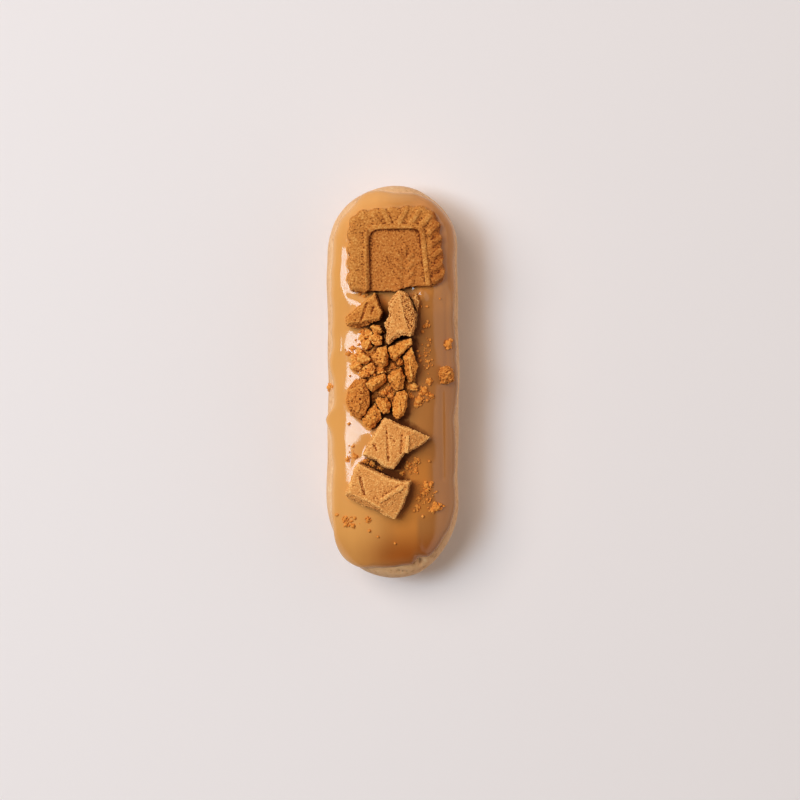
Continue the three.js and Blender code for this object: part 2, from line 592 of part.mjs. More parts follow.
function lump(x, y, radius, rise, seed) {
  const draw = drawer(seed);
  const stone = roughened(new THREE.IcosahedronGeometry(radius, 0), LUMP.rough * radius, seed);
  stone.scale(lerp(...LUMP.stretch, draw()), lerp(...LUMP.stretch, draw()), lerp(...LUMP.flatten, draw()));
  stone.rotateX(draw() * Math.PI);
  stone.rotateZ(draw() * Math.PI);
  return stone.translate(x, y, glazeHeight(x, y) + rise);
}

function heapBed() {
  const { centre, reach, height, rise, rough, seed } = HEAP_BED;
  const mound = roughened(new THREE.SphereGeometry(1, 20, 12).scale(...reach, height), rough, seed);
  return mound.translate(...centre, glazeHeight(...centre) + rise - height);
}

function heapLumps() {
  const lumps = HEAP_LUMPS.map(([x, y, radius, rise], i) => lump(x, y, radius, rise, LUMP.seed + i));
  const draw = drawer(HEAP_FILLERS.seed);
  for (let i = 0; i < HEAP_FILLERS.count; i++) {
    const angle = 2 * Math.PI * draw();
    const out = Math.sqrt(draw()) * HEAP_FILLERS.spread;
    const x = HEAP_BED.centre[0] + HEAP_BED.reach[0] * out * Math.cos(angle);
    const y = HEAP_BED.centre[1] + HEAP_BED.reach[1] * out * Math.sin(angle);
    const radius = lerp(...HEAP_FILLERS.radius, draw());
    lumps.push(lump(x, y, radius, HEAP_FILLERS.rise * draw(), LUMP.fillerSeed + i));
  }
  return wasm.Manifold.union(lumps.map(solidOf));
}

function crumbSolid(x, y, radius, seed) {
  const stone = roughened(new THREE.IcosahedronGeometry(radius, 0), CRUMB.rough * radius, seed);
  return solidOf(stone.translate(x, y, glazeHeight(x, y) + CRUMB.lift * radius));
}

function glazeSolid() {
  let solid = solidOf(glazeGeometry());
  CRUMBS.forEach(([x, y, radius], i) => {
    solid = solid.add(crumbSolid(x, y, radius, CRUMB.seed + i));
  });
  return solid;
}

// Finishes
const finishes = {
  choux: new THREE.MeshStandardMaterial({ color: 0xdca866, roughness: 0.7, metalness: 0 }),
  glaze: new THREE.MeshStandardMaterial({ color: 0xc98b4a, roughness: 0.18, metalness: 0 }),
  biscuit: new THREE.MeshStandardMaterial({ color: 0xb87433, roughness: 0.85, metalness: 0 }),
  crumb: new THREE.MeshStandardMaterial({ color: 0xc9812f, roughness: 0.9, metalness: 0 }),
};

// The eclair
const eclair = new THREE.Group();

function place(name, geometry, finish) {
  const mesh = new THREE.Mesh(geometry, finish);
  mesh.name = name;
  eclair.add(mesh);
}

const cutter = glazeCutter();
const glaze = geometryOf(glazeSolid());
place("choux_shell", geometryOf(solidOf(chouxGeometry())), finishes.choux);
place("caramel_glaze", glaze, finishes.glaze);

const laidPieces = [];

// Fits a topping to the glaze and to the pieces laid before it
function fitted(solid) {
  const clearOfGlaze = solid.subtract(cutter);
  return laidPieces.reduce((rest, piece) => rest.subtract(piece), clearOfGlaze);
}

// The space that a piece takes up, with clearance
function spaceOf(geometry) {
  return solidOf(grown(geometry, 1.4 * GAP));
}

function layTopping(name, geometry, finish, bedSpace) {
  const whole = solidOf(geometry);
  const shape = geometryOf(largestBody(fitted(bedSpace ? whole.subtract(bedSpace) : whole)));
  laidPieces.push(spaceOf(shape));
  place(name, shape, finish);
}

layTopping("biscuit_half", biscuitGeometry(), finishes.biscuit);
for (const piece of SHARDS) layTopping(piece.name, fragmentGeometry(piece), finishes.biscuit);
const mound = heapBed();
const bed = largestBody(fitted(solidOf(mound)));
const bedSpace = spaceOf(mound);
for (const piece of CHUNKS) layTopping(piece.name, fragmentGeometry(piece), finishes.crumb, bedSpace);
place("crumble_heap", geometryOf(largestBody(bed.add(fitted(heapLumps())))), finishes.crumb);

// The origin is the middle of the eclair's box, on the surface that it lies on
const middle = new THREE.Box3().setFromObject(eclair).getCenter(new THREE.Vector3());
eclair.children.forEach((mesh) => mesh.position.set(-middle.x, -middle.y, 0));

export default eclair;
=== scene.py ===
"""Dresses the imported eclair: golden choux, glossy caramel glaze, a broken spiced biscuit and its crumbs.

The eclair lies along Y on the surface Z = 0. Sizes are in millimetres until a mesh is made, in metres.
"""
import math

import bmesh
import bpy
import numpy as np
from mathutils import Euler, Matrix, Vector
from mathutils.bvhtree import BVHTree
from mathutils.geometry import convex_hull_2d


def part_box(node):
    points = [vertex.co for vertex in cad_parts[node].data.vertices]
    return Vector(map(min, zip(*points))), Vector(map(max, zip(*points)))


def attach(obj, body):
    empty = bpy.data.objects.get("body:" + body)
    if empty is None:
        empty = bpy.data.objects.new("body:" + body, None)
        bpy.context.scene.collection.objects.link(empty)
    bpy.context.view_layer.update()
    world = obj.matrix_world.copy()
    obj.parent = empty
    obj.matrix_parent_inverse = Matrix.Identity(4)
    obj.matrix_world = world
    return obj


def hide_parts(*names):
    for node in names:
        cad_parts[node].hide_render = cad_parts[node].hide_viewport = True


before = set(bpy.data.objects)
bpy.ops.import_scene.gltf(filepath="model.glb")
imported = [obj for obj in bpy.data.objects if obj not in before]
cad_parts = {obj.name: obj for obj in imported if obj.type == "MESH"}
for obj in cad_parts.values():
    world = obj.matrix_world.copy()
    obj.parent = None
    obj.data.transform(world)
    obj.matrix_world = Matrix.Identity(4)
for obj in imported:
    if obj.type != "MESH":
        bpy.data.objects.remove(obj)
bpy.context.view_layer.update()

MM = 0.001
WELD = 1e-3  # points closer than this are one point
SLIVER = 1e-4  # faces thinner than this are taken out

# The loaf's form, as in the solids
HALF_LENGTH = 64.5
HALF_WIDTH = 21.5
LOW_END_STRETCH = 1.2
SPINE = HALF_LENGTH - HALF_WIDTH
LOW_SPINE = HALF_LENGTH - LOW_END_STRETCH * HALF_WIDTH
BELLY_HEIGHT = 11.0
DOME_RISE = 15.0
FOOT_DEPTH = 14.5
DOME_SQUARENESS = 3.3
FOOT_SQUARENESS = 2.3
LENGTH_DOME = 0.08
SIDE_SHARE = 16 / 60
END_SHARE = 14 / 60
OUTLINE_WAVES = [(5, 0.008, 0.28), (3, 0.005, 0.7), (13, 0.006, 0.15)]  # turns, size, shift

# The crust: rows of its mesh, its relief, and small holes in it: x, y, radius, depth
CHOUX_COLUMNS = 480
CHOUX_UNDER_ROWS = 5
CHOUX_SIDE_ROWS = 90
CHOUX_HIDDEN_ROWS = 9
CHOUX_HIDDEN_FROM = math.radians(58)  # the glaze covers what lies above
SWELLING_SIZE = 14
WRINKLE_SIZE = 3.2
WRINKLE_DRAW = (1.0, 0.16, 1.0)  # wrinkles run lengthwise
CRUST_GRAIN_SIZE = 1.1
CRUST_RELIEF = {"Swelling": 0.25 * MM, "Wrinkle_Depth": 0.14 * MM, "Grain_Depth": 0.07 * MM, "Seed": 2.0}
FLAT_FOOT = (0.2, 3)  # the relief fades in over these heights
CRUST_HOLES = [
    (9.2, -59.4, 0.9, 0.8), (9.0, -58.2, 0.9, 0.8), (2.0, -61.6, 0.7, 0.4), (3.2, -61.9, 0.7, 0.4),
    (4.6, -61.8, 0.6, 0.3),
]
# painted shade in the holes
HOLE_SHADE = 0.55

# The glaze's lower edge, in degrees up the cross-section, and its drips: place, half-width, fall
EDGE_SIDES = 31.3
EDGE_RIGHTWARDS = -2.2
EDGE_ENDS = 13.7
EDGE_TOWARDS_TOP = -2.0
EDGE_WAVES = [(9, 1.3, 0.2), (17, 0.9, 0.6), (31, 0.5, 0.35), (47, 0.35, 0.8)]
DRIPS = [
    (0.415, 0.022, 17),
    (0.325, 0.04, 9),
    (0.545, 0.02, 5),
    (0.622, 0.014, 10),
    (0.68, 0.01, 11),
    (0.826, 0.034, 27),
    (0.885, 0.035, 2.5),
    (0.921, 0.008, -6),
    (0.12, 0.02, 4),
]
DRIP_BEADS = [(0.68, 0.012, 0.55)]  # place, half-width, extra depth
DRIP_BEAD_AT = 1.2  # distance from the lip, and half-width that way

# The glaze's thickness
GLAZE_COLUMNS = 600
GLAZE_ROWS = 110
GLAZE_ROW_POWER = 1.15  # rows lie closer together near the lip
GLAZE_UNDER_ROWS = 5
GLAZE_DEPTH = 1.7
GLAZE_ROOT = -0.25  # the lip starts this far inside the crust
GLAZE_UNDER = GLAZE_ROOT - 0.4
GLAZE_LIP = 3.0  # distance over which the lip rounds off
GLAZE_SETTLED = 1.5 * GLAZE_LIP  # folds reach their height this far from the lip
GLAZE_BEAD = 0.15  # extra depth just above the lip
GLAZE_BEAD_WIDTH = 2.0
# Soft folds in the glaze: from, to, half-width, height
GLAZE_FOLDS = [
    ((15.9, -3.0), (16.2, -31.0), 0.9, -0.22),
    ((17.3, 30.0), (17.4, 4.0), 0.8, -0.18),
    ((12.4, 22.0), (13.0, 12.0), 1.6, 0.1),
    ((12.9, -9.0), (12.3, -18.0), 1.6, 0.1),
    ((12.2, -27.0), (12.9, -36.0), 1.6, 0.1),
    ((-17.5, 15.0), (-17.5, 10.0), 0.7, 0.095),
    ((-8.0, 23.5), (-9.5, 20.0), 4.0, 0.9),
    ((9.0, 29.2), (9.6, 27.4), 1.5, 0.7),
    ((-5.0, -9.0), (-6.0, -16.3), 3.6, 0.8),
    ((-15.0, -21.0), (-14.4, -32.0), 2.0, 0.15),
    ((-7.0, -24.5), (-9.0, -26.5), 1.8, 0.35),
    ((7.6, -44.0), (8.2, -56.0), 1.6, 0.2),
    ((0.5, -48.0), (0.5, -58.0), 4.0, -0.7),
]
COLLAR_OUT = 2.8  # the glaze swells up round the biscuit, this far from its edge
COLLAR_RISE = 2.6  # half-width of the swelling towards the biscuit
COLLAR_FALL = 3.0  # and away from it
COLLAR_HEIGHT = 0.45
FILL_HEIGHT = 1.6  # where the loaf falls away to the right under the biscuit, the glaze fills in
FILL_FALL = 3.5
FILL_ACROSS = (6, 13)
MENISCUS_SPREAD = 12  # rounds of smoothing that draw the glaze up against the toppings
MENISCUS_HEIGHT = 0.18  # most that it rises beside them
MENISCUS_GAP = 0.8  # it does not rise to an underside higher than this
MENISCUS_OVERLAP = 0.25  # under a topping it reaches this far into it
RISE_INSET_ROWS = 3  # its steep rise to an underside starts this many rows in from the edge

# Crumbs on the glaze: x, y, radius
CRUMBS = [
    (11.2, 19.6, 0.7), (10.8, 18.2, 1), (12, 13.5, 0.8), (11.4, 11.8, 0.75), (9.6, 16.2, 0.8),
    (10.6, 8.4, 0.7), (11.2, 6.6, 0.7), (11, 4.4, 0.65), (10.2, -2.8, 1.4), (9.2, -3.9, 0.9),
    (12, 0.1, 1.1), (12.3, -4.5, 1), (11.1, -5.9, 0.8), (8.2, -6.2, 1.5), (7.4, -7.6, 0.9),
    (18, 12.4, 1.5), (-14.3, 9.1, 0.95), (-13, 10.9, 0.85), (-20.6, -1.7, 1.3), (-12.9, -20.7, 0.7),
    (-12, -24, 0.9), (-14.6, -24.9, 0.9), (11.8, -25.6, 0.75), (7.4, -25.6, 1.3), (7.4, -28.6, 0.9),
    (10.7, -33.5, 1.3), (12.2, -33.1, 1), (10.9, -35.1, 1), (9.8, -36, 0.9), (8.4, -37.4, 1),
    (7.9, -40.4, 1), (6.8, -41.6, 0.8), (9.6, -43.4, 0.65), (11.1, -37.9, 0.75), (14.1, -35.4, 0.6),
    (13.9, -40.5, 1.75), (12.8, -41.6, 1), (16.5, -40.1, 0.75), (-18.2, -43, 0.8), (-15.5, -44.3, 1),
    (-15.2, -46.2, 0.9), (-12.3, -44, 0.8), (-12.9, -46.4, 0.9), (-8, -44.5, 0.95), (-7.6, -48.1, 0.75),
    (-4.8, -50, 0.6), (0.7, -52.1, 0.6), (-8.7, -25.4, 1), (-6.3, -26.4, 1.05), (-4, -27.8, 0.9),
    (4.8, -27, 1.1), (5.5, -29.3, 0.8), (3.2, -29.2, 0.85), (-12, 13.5, 0.5), (-10.9, 12.1, 0.75),
    (-13.8, 1.9, 0.5), (15.2, 26.9, 0.5), (9.1, 24.3, 0.6), (11, 24.3, 0.6), (-14.2, -13.5, 0.8),
    (-10.6, 28.4, 0.75), (-9.2, 27.8, 0.8), (-8.2, 28.2, 0.6),
]
# Crumbs in the gaps between the chunks: x, y, radius
GAP_CRUMBS = [
    (0.5, 13.1, 0.6), (-2.9, 16.1, 0.7), (-7.2, 4.6, 1), (-3.6, 4.2, 1), (-8.2, 2.6, 0.8),
    (-5.8, 2.3, 0.8), (0, 5.5, 1), (2, 6.6, 0.9), (-1.8, 6.3, 0.7), (8, 10, 0.8), (8.4, 8.3, 0.75),
    (8.8, 6.8, 0.8), (5.1, -1.7, 0.9), (-3.2, -3.7, 1.1), (-1.2, -2.2, 1.1), (-0.5, -4.5, 1),
    (5.7, -4.5, 0.9), (-9.5, 16.6, 1), (-10.6, 16.1, 0.8), (-8.3, 16.9, 0.8),
]
# Tiny crumbs strewn round the larger ones: x, y, spread in x, spread in y, how many
STREWN = [
    (10.9, 9.0, 1.3, 7.0, 44), (10.4, -4.0, 2.0, 2.4, 16), (10.6, -36.5, 2.2, 3.2, 26),
    (14.2, -40.6, 1.8, 1.2, 12), (-14.2, -45.0, 2.6, 1.4, 14), (-13.4, -22.5, 1.4, 2.0, 8),
    (6.0, -27.6, 1.8, 1.4, 12), (-13.0, 9.6, 1.6, 1.6, 8),
]
STREWN_RADIUS = (0.14, 0.36)
STREWN_TIGHTNESS = 1.6
LONE_CRUMB = 0.72  # a crumb without others on it takes this share of its radius
CLUMP_FROM = 0.85  # a crumb of this radius or more is a clump of grains round a core
CLUMP_CORE = 0.75
CLUMP_GRAINS = (9, 4)  # for each millimetre of radius, and besides
CLUMP_SPREAD = (0.45, 1.05)
CLUMP_GRAIN = (0.22, 0.45)
GRAIN_STRETCH = ((0.75, 0.75, 0.65), (1.2, 1.2, 1.0))
GRAIN_TURN = ((0.0, 0.0, 0.0), (6.28, 6.28, 6.28))
GRAIN_PITS = 0.7
CRUMB_LIFT = 0.45  # share of the radius that a crumb's middle stands above the ground
CRUMB_ROUGHNESS = 0.5
CRUMB_SEED = 7

# Pieces of biscuit
SHARD_NODES = ["shard_tall", "shard_upper", "shard_lower", "shard_left", "shard_behind"]
CHUNK_NODES = [
    "chunk_left", "chunk_low", "chunk_right", "chunk_middle", "chunk_heart", "chunk_wedge", "chunk_crown",
    "chunk_slab", "chunk_edge", "chunk_side",
]
BROWN_NODES = ["shard_left"]
SCORED_NODES = ["shard_upper", "shard_lower", "shard_left"]
PITTED_NODES = ["chunk_left", "chunk_side"]

# How neighbouring pieces shut each other in, for painted shade in the gaps between them
NEIGHBOUR_REACH = 7
SHUT_IN_LIFT = 0.6  # rays that feel for neighbours start this far off the surface
SHUT_IN_RAYS = [(20, 8), (45, 8), (70, 4)]  # elevation, number of rays
# Leant this way, the painted shade falls on the side away from the light, like a cast shadow
SHUT_IN_LEAN = math.radians(25)  # they lean to the left, where most light comes from
# On the right slope they lean right instead: there the painted shade is a painted reflection of the dark
# pieces
RIGHT_SLOPE = ("X", 11, 15, 0.0, 1.0)  # to the right from here on, where gloss mirrors what lies below

# Relief of the broken pieces: inputs in millimetres, inputs without a unit, and the values for each kind
RELIEF_SIZES = [
    "Reach", "Swell", "Lump Size", "Lump Depth", "Grain Size", "Grain Depth", "Pore Size", "Pore Depth",
    "Break Size", "Break Depth", "Break Below",
]
RELIEF_SHARES = ["Calm", "Calm Above", "Contrast", "Lightest", "Seed"]
EVERYWHERE = 1000.0  # a line that every piece lies below
BISCUIT_RELIEF = dict(
    voxel=0.168, Blur=8, Swell=0.05, Lump_Size=5, Lump_Depth=0.08, Grain_Size=0.45, Grain_Depth=0.1,
    Pore_Size=1.2, Pore_Depth=0.06, Break_Size=2, Break_Depth=0.7, Break_Below=31.5, Calm=0.8,
    Calm_Above=0.65, Contrast=0.4, Lightest=0.0, Seed=1.0,
)
SHARD_RELIEF = dict(
    voxel=0.15, Blur=6, Swell=0.1, Lump_Size=3, Lump_Depth=0.3, Grain_Size=0.5, Grain_Depth=0.3,
    Pore_Size=1.4, Pore_Depth=0.3, Break_Size=1.8, Break_Depth=0.45, Break_Below=EVERYWHERE, Calm=0.5,
    Calm_Above=0.97, Contrast=0.65, Lightest=2.0,
)
SCORED_FACE = dict(Calm_Above=0.7)
CHUNK_RELIEF = dict(
    voxel=0.14, Blur=2, Swell=0.28, Lump_Size=2.6, Lump_Depth=0.42, Grain_Size=0.55, Grain_Depth=0.2,
    Pore_Size=1.4, Pore_Depth=0.16, Break_Size=2, Break_Depth=0.3, Break_Below=EVERYWHERE, Calm=0.8,
    Calm_Above=0.97, Contrast=0.3, Lightest=2.0,
)
DEEP_PORES = dict(Pore_Depth=0.4)
HEAP_RELIEF = dict(
    voxel=0.15, Blur=1, Swell=0.3, Lump_Size=2, Lump_Depth=0.4, Grain_Size=0.55, Grain_Depth=0.2,
    Pore_Size=1.2, Pore_Depth=0.25, Break_Size=2, Break_Depth=0.0, Break_Below=EVERYWHERE, Calm=1.0,
    Calm_Above=0.97, Contrast=0.3, Lightest=2.0, Seed=40.0,
)
SHARD_SEED = 10.0
CHUNK_SEED = 20.0
# Painted light and shade from relief: lighter where the surface stands out, darker in its hollows and on
# steep sides
CLOSE_UP = (4, 0.07)  # how small relief is felt for tones: rounds of smoothing, depth
BROADLY = (40, 0.4)  # and large relief
MIDDLE_TONE = 0.55
CLOSE_UP_TONE = 0.2
STEEP_SIDE_SHADE = -0.12
CALM_SPAN = 0.1  # calm sets in over this much of the slope
CLUMP_SHAPE = (2.4, -0.6)
GRAIN_BUMPS = (0.15, 0.85, 0.5, -0.5)
SAND_SHARE = 0.45
SAND_FINENESS = 1.3
PORE_EDGE = (0.15, 0.5)


def srgb(red, green, blue):
    """A colour as it looks, from 0 to 255, as the linear values that shaders take."""
    def linear(value):
        share = value / 255
        return share / 12.92 if share <= 0.04045 else ((share + 0.055) / 1.055) ** 2.4
    return (linear(red), linear(green), linear(blue), 1.0)


# Baked finishes: pores, base, grains, size of speckles, roughness, strength of speckles
# The colour of painted shade in the gaps between pieces
GAP_SHADE_COLOUR = srgb(74, 22, 4)
BAKED_FINISHES = {
    "biscuit face": (srgb(125, 66, 25), srgb(204, 137, 69), srgb(232, 178, 106), 0.6, 0.75, 1.6),
    "biscuit shard": (srgb(138, 72, 26), srgb(222, 155, 88), srgb(246, 193, 124), 0.6, 0.8, 0.8),
    "browner shard": (srgb(124, 60, 20), srgb(202, 130, 62), srgb(232, 168, 92), 0.6, 0.8, 0.8),
    "broken biscuit": (srgb(126, 56, 14), srgb(226, 151, 72), srgb(246, 188, 108), 0.6, 0.85, 0.8),
    "darker broken biscuit": (srgb(120, 52, 14), srgb(212, 138, 66), srgb(238, 175, 98), 0.6, 0.85, 0.8),
    "baked choux": (srgb(198, 146, 96), srgb(232, 188, 142), srgb(248, 220, 182), 1.2, 0.55, 0.8),
}
BROAD_TONE_SIZE = 5
BROAD_TONE_STRENGTH = 0.35
PORE_TONES = (0.1, 0.5)
GRAIN_TONES = (0.5, 1.0)
GAP_SHADE = (0.3, 0.8)
SPECKLE_BUMP = 0.2

# A zone is a list of ramps along the axes: axis, from, to, share at each
# Tints on the biscuit, colour and zone: the pressed panel, painted shade on the frame's inner side, painted
# shade on the right border
PANEL_LEFT = -8.0
PANEL_RIGHT = 10.0
PANEL_TOP = 49.3
FRAME_SHADE_SPAN = 1.6
FRAME_FOOT = PANEL_LEFT + 0.5
SHADED_BORDER_FROM = 11.5
BELOW_FRAME = ("Y", PANEL_TOP - 1, PANEL_TOP, 1.0, 0.0)
BISCUIT_TINTS = [
    ((0.93, 0.86, 0.83, 1.0), [
        ("X", PANEL_LEFT, PANEL_LEFT + 1, 0.0, 1.0), ("X", PANEL_RIGHT - 1, PANEL_RIGHT, 1.0, 0.0),
        BELOW_FRAME,
    ]),
    # painted shade on the frame's inner side, where the rounded bar turns from the light
    ((0.52, 0.42, 0.34, 1.0), [
        ("X", FRAME_FOOT - FRAME_SHADE_SPAN, FRAME_FOOT, 0.0, 1.0), ("X", PANEL_LEFT, PANEL_LEFT + 1, 1.0, 0.0),
        BELOW_FRAME,
    ]),
    # painted shade on the right border and its grooves
    ((0.78, 0.66, 0.57, 1.0), [("X", SHADED_BORDER_FROM, SHADED_BORDER_FROM + 1.5, 0.0, 1.0)]),
]

# The glaze's tones: pale to dark across, as painted shade, then what is laid over: colour, zone, zone left
# out
GLAZE_PALE = srgb(226, 167, 97)
GLAZE_DARK = srgb(176, 118, 63)
# painted shade: darker towards the right, where less light falls
SHADED_RIGHTWARDS = [("X", -16, 18, 0.0, 1.0)]
# painted light: paler towards the upper end
LIGHTER_ABOVE = [("Y", 36, 58, 0.0, 0.25)]
CLOUD_SIZE = 6
CLOUD_DRAW = (1.0, 0.2, 1.0)
CLOUD_STRENGTH = 0.35
# painted light on the right beside and above the biscuit, where its shadow falls
LIT_BESIDE_BISCUIT = [("X", 5, 11, 0.0, 1.0), ("Y", 20, 30, 0.0, 0.8)]
LOW_MIDDLE = [("X", -6, 4, 0.0, 0.75), ("X", 10, 13.5, 1.0, 0.0), ("Y", -20, -28, 0.0, 1.0)]
PAST_FOLD = [("X", 7, 9, 0.0, 1.0), ("Y", -41, -46, 0.0, 1.0)]
# painted shade towards the low end
SHADED_LOW_END = [("X", -14, 4, 0.2, 1.0), ("Y", -46, -57, 0.0, 0.9)]
NOWHERE = [("X", 0, 1, 0.0, 0.0)]
GLAZE_TONES = [
    (srgb(208, 142, 74), LIT_BESIDE_BISCUIT, NOWHERE),
    (srgb(208, 138, 64), LOW_MIDDLE, PAST_FOLD),
    (srgb(162, 90, 30), SHADED_LOW_END, NOWHERE),
]
# Paler glaze near the lip and where the glaze ran down on the low left: thin there, and partly a painted
# reflection of the pale floor
GLAZE_FILM_AND_REFLECTION = srgb(226, 180, 130)
LIP_FILM_WIDTH = (0.4, 4.2)
LIP_FILM_AND_REFLECTION = [("Y", -40, -50, 0.4, 0.2)]
RUN_FILM_AND_REFLECTION = [("X", 0, -8, 0.0, 1.0), ("Y", -40, -50, 0.0, 1.0), ("Z", 22, 17, 0.0, 0.85)]
# Where the toppings shut the glaze in it gets painted shade, but close below the biscuit a painted glow, as
# of light that shines through it
GLAZE_SHADE_COLOUR = srgb(84, 26, 4)
GLAZE_PAINTED_GLOW = srgb(234, 152, 72)
BELOW_BISCUIT = [("Y", 21, 26, 0.0, 1.0)]
GLAZE_SHADE = (0.33, 0.7, 0.0, 0.85)
GLAZE_COAT = (0.4, 0.7, 1.0, 0.3)  # it shines less there

# The stage: colours and strengths of the room, and lights: place, size, power, colour
ROOM_LIGHT = (1.0, 0.88, 0.76, 1.0)
ROOM_GLOSS = (0.97, 0.98, 1.0, 1.0)
DAYLIGHT = (-0.8, 0.8, 0.13, 0.26)  # from the low end to the upper end
WALL_EDGE = (0.46, 0.58, 0.0, 1.0)
WALL_LIGHT = 0.5
WALL_GLOSS = 0.75  # more of it in gloss
SHEEN = (0.2, 0.8, 0.0, 0.9)  # only in gloss
VIEW_GAMMA = 0.83
FLOOR_SIDE = 4.0
FLOOR_COLOUR = srgb(224, 218, 219)
FLOOR_GLOW = (1.0, 0.85, 0.72, 1.0)
SOFTBOX = ((-1.29, 0.145, 2.14), (0.76, 0.8), 20.0, (0.5, 0.8, 1.05))
WINDOW = ((-1.25, 0.66, 2.05), (1.7, 1.7), 43.0, (1.11, 1.03, 0.945))
CAMERA_PLACE = (2.31, -5.8, 744)
CAMERA_LENS = 100
CAMERA_SENSOR = 36


# Node trees
def feed(tree, socket, value):
    if isinstance(value, bpy.types.NodeSocket):
        tree.links.new(value, socket)
    else:
        socket.default_value = value


def add(tree, kind, settings=None, places=(), **named):
    """A node with its inputs fed by place or by name, _ for a space. A value may be a node's output."""
    node = tree.nodes.new(kind)
    for key, value in (settings or {}).items():
        setattr(node, key, value)
    for socket, value in zip(node.inputs, places):
        feed(tree, socket, value)
    in_order = reversed(list(node.inputs))
    shown = {socket.name.replace(" ", "_"): socket for socket in in_order if socket.enabled}
    for key, value in named.items():
        feed(tree, shown[key], value)
    return node


def shown_output(node):
    return next(socket for socket in node.outputs if socket.enabled)


def calc(tree, operation, *values):
    return add(tree, "ShaderNodeMath", {"operation": operation}, places=values).outputs[0]


def vector_calc(tree, operation, *values):
    return add(tree, "ShaderNodeVectorMath", {"operation": operation}, places=values).outputs[0]


def scaled(tree, vector, length):
    settings = {"operation": "SCALE"}
    return add(tree, "ShaderNodeVectorMath", settings, Vector=vector, Scale=length).outputs[0]


def part(tree, vector, axis):
    return add(tree, "ShaderNodeSeparateXYZ", places=(vector,)).outputs[axis]


def smooth_range(tree, value, low, high, start, end):
    settings = {"interpolation_type": "SMOOTHSTEP"}
    node = add(tree, "ShaderNodeMapRange", settings, places=(value, low, high, start, end))
    return node.outputs[0]


def zone(tree, place, ramps):
    """How much each place lies in a zone: the product of its ramps."""
    share = 1.0
    for axis, start, end, low, high in ramps:
        ramp = smooth_range(tree, part(tree, place, axis), start * MM, end * MM, low, high)
        share = calc(tree, "MULTIPLY", ramp, share)
    return share


def mixed(tree, share, first, second):
    return shown_output(add(tree, "ShaderNodeMix", {"data_type": "RGBA"}, Factor=share, A=first, B=second))


def new_tree(name, kind, inputs, outputs):
    """A node group with named sockets, its entry node and its exit node."""
    tree = bpy.data.node_groups.new(name, kind)
    for label, socket_type in inputs:
        tree.interface.new_socket(label, in_out="INPUT", socket_type=socket_type)
    for label, socket_type in outputs:
        tree.interface.new_socket(label, in_out="OUTPUT", socket_type=socket_type)
    return tree, tree.nodes.new("NodeGroupInput"), tree.nodes.new("NodeGroupOutput")


def shape_tree(name, inputs):
    """A Geometry Nodes tree that takes a shape and a finish, and its other named inputs."""
    shape = ("Geometry", "NodeSocketGeometry")
    finish = ("Finish", "NodeSocketMaterial")
    return new_tree(name, "GeometryNodeTree", [shape, *inputs, finish], [shape])


def give_tree(obj, tree, **values):
    """Puts a Geometry Nodes tree on an object, with its named inputs set."""
    modifier = obj.modifiers.new(tree.name, "NODES")
    modifier.node_group = tree
    for item in tree.interface.items_tree:
        key = item.name.replace(" ", "_")
        if item.in_out == "INPUT" and key in values:
            modifier[item.identifier] = values[key]


def make_plain(obj):
    """Turns what the object's modifiers give into its own plain mesh."""
    graph = bpy.context.evaluated_depsgraph_get()
    shaped = obj.evaluated_get(graph)
    mesh = bpy.data.meshes.new_from_object(shaped, preserve_all_data_layers=True, depsgraph=graph)
    obj.modifiers.clear()
    obj.data = mesh


def new_object(name, mesh):
    obj = bpy.data.objects.new(name, mesh)
    bpy.context.scene.collection.objects.link(obj)
    return obj


def finish_piece(obj, slot, *nodes):
    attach(obj, "root")
    if nodes:
        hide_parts(*nodes)


# Geometry Nodes trees
def place_and_normal(tree):
    kinds = ("GeometryNodeInputPosition", "GeometryNodeInputNormal")
    return [tree.nodes.new(kind).outputs[0] for kind in kinds]


def moved_by(tree, shape, offset):
    return add(tree, "GeometryNodeSetPosition", Geometry=shape, Offset=offset).outputs[0]


def blurred(tree, value, rounds):
    settings = {"data_type": "FLOAT_VECTOR"}
    return add(tree, "GeometryNodeBlurAttribute", settings, Value=value, Iterations=rounds).outputs[0]


def with_note(tree, shape, name, value):
    """The shape with a number kept at each point under a name."""
    return add(tree, "GeometryNodeStoreNamedAttribute", Geometry=shape, Name=name, Value=value).outputs[0]


def shaded_smooth(tree, shape):
    return add(tree, "GeometryNodeSetShadeSmooth", Geometry=shape).outputs[0]


def put_out(tree, leave, shape, finish):
    """Ends a tree: the shape as plain mesh with its finish."""
    whole = add(tree, "GeometryNodeRealizeInstances", Geometry=shape).outputs[0]
    painted = add(tree, "GeometryNodeSetMaterial", Geometry=whole, Material=finish).outputs[0]
    tree.links.new(painted, leave.inputs[0])


def noise_swing(tree, place, seed, scale, detail):
    """Noise from -1 to 1."""
    settings = {"noise_dimensions": "4D"}
    noise = add(tree, "ShaderNodeTexNoise", settings, Vector=place, W=seed, Scale=scale, Detail=detail)
    return calc(tree, "MULTIPLY_ADD", noise.outputs[0], 2.0, -1.0)


def standing_out(tree, rounds, depth):
    """How far each point stands out from the smoothed surface round it, as a share of a depth."""
    place, normal = place_and_normal(tree)
    away = vector_calc(tree, "SUBTRACT", place, blurred(tree, place, rounds))
    settings = {"operation": "DOT_PRODUCT"}
    out = add(tree, "ShaderNodeVectorMath", settings, places=(away, normal)).outputs["Value"]
    return calc(tree, "DIVIDE", out, depth * MM)


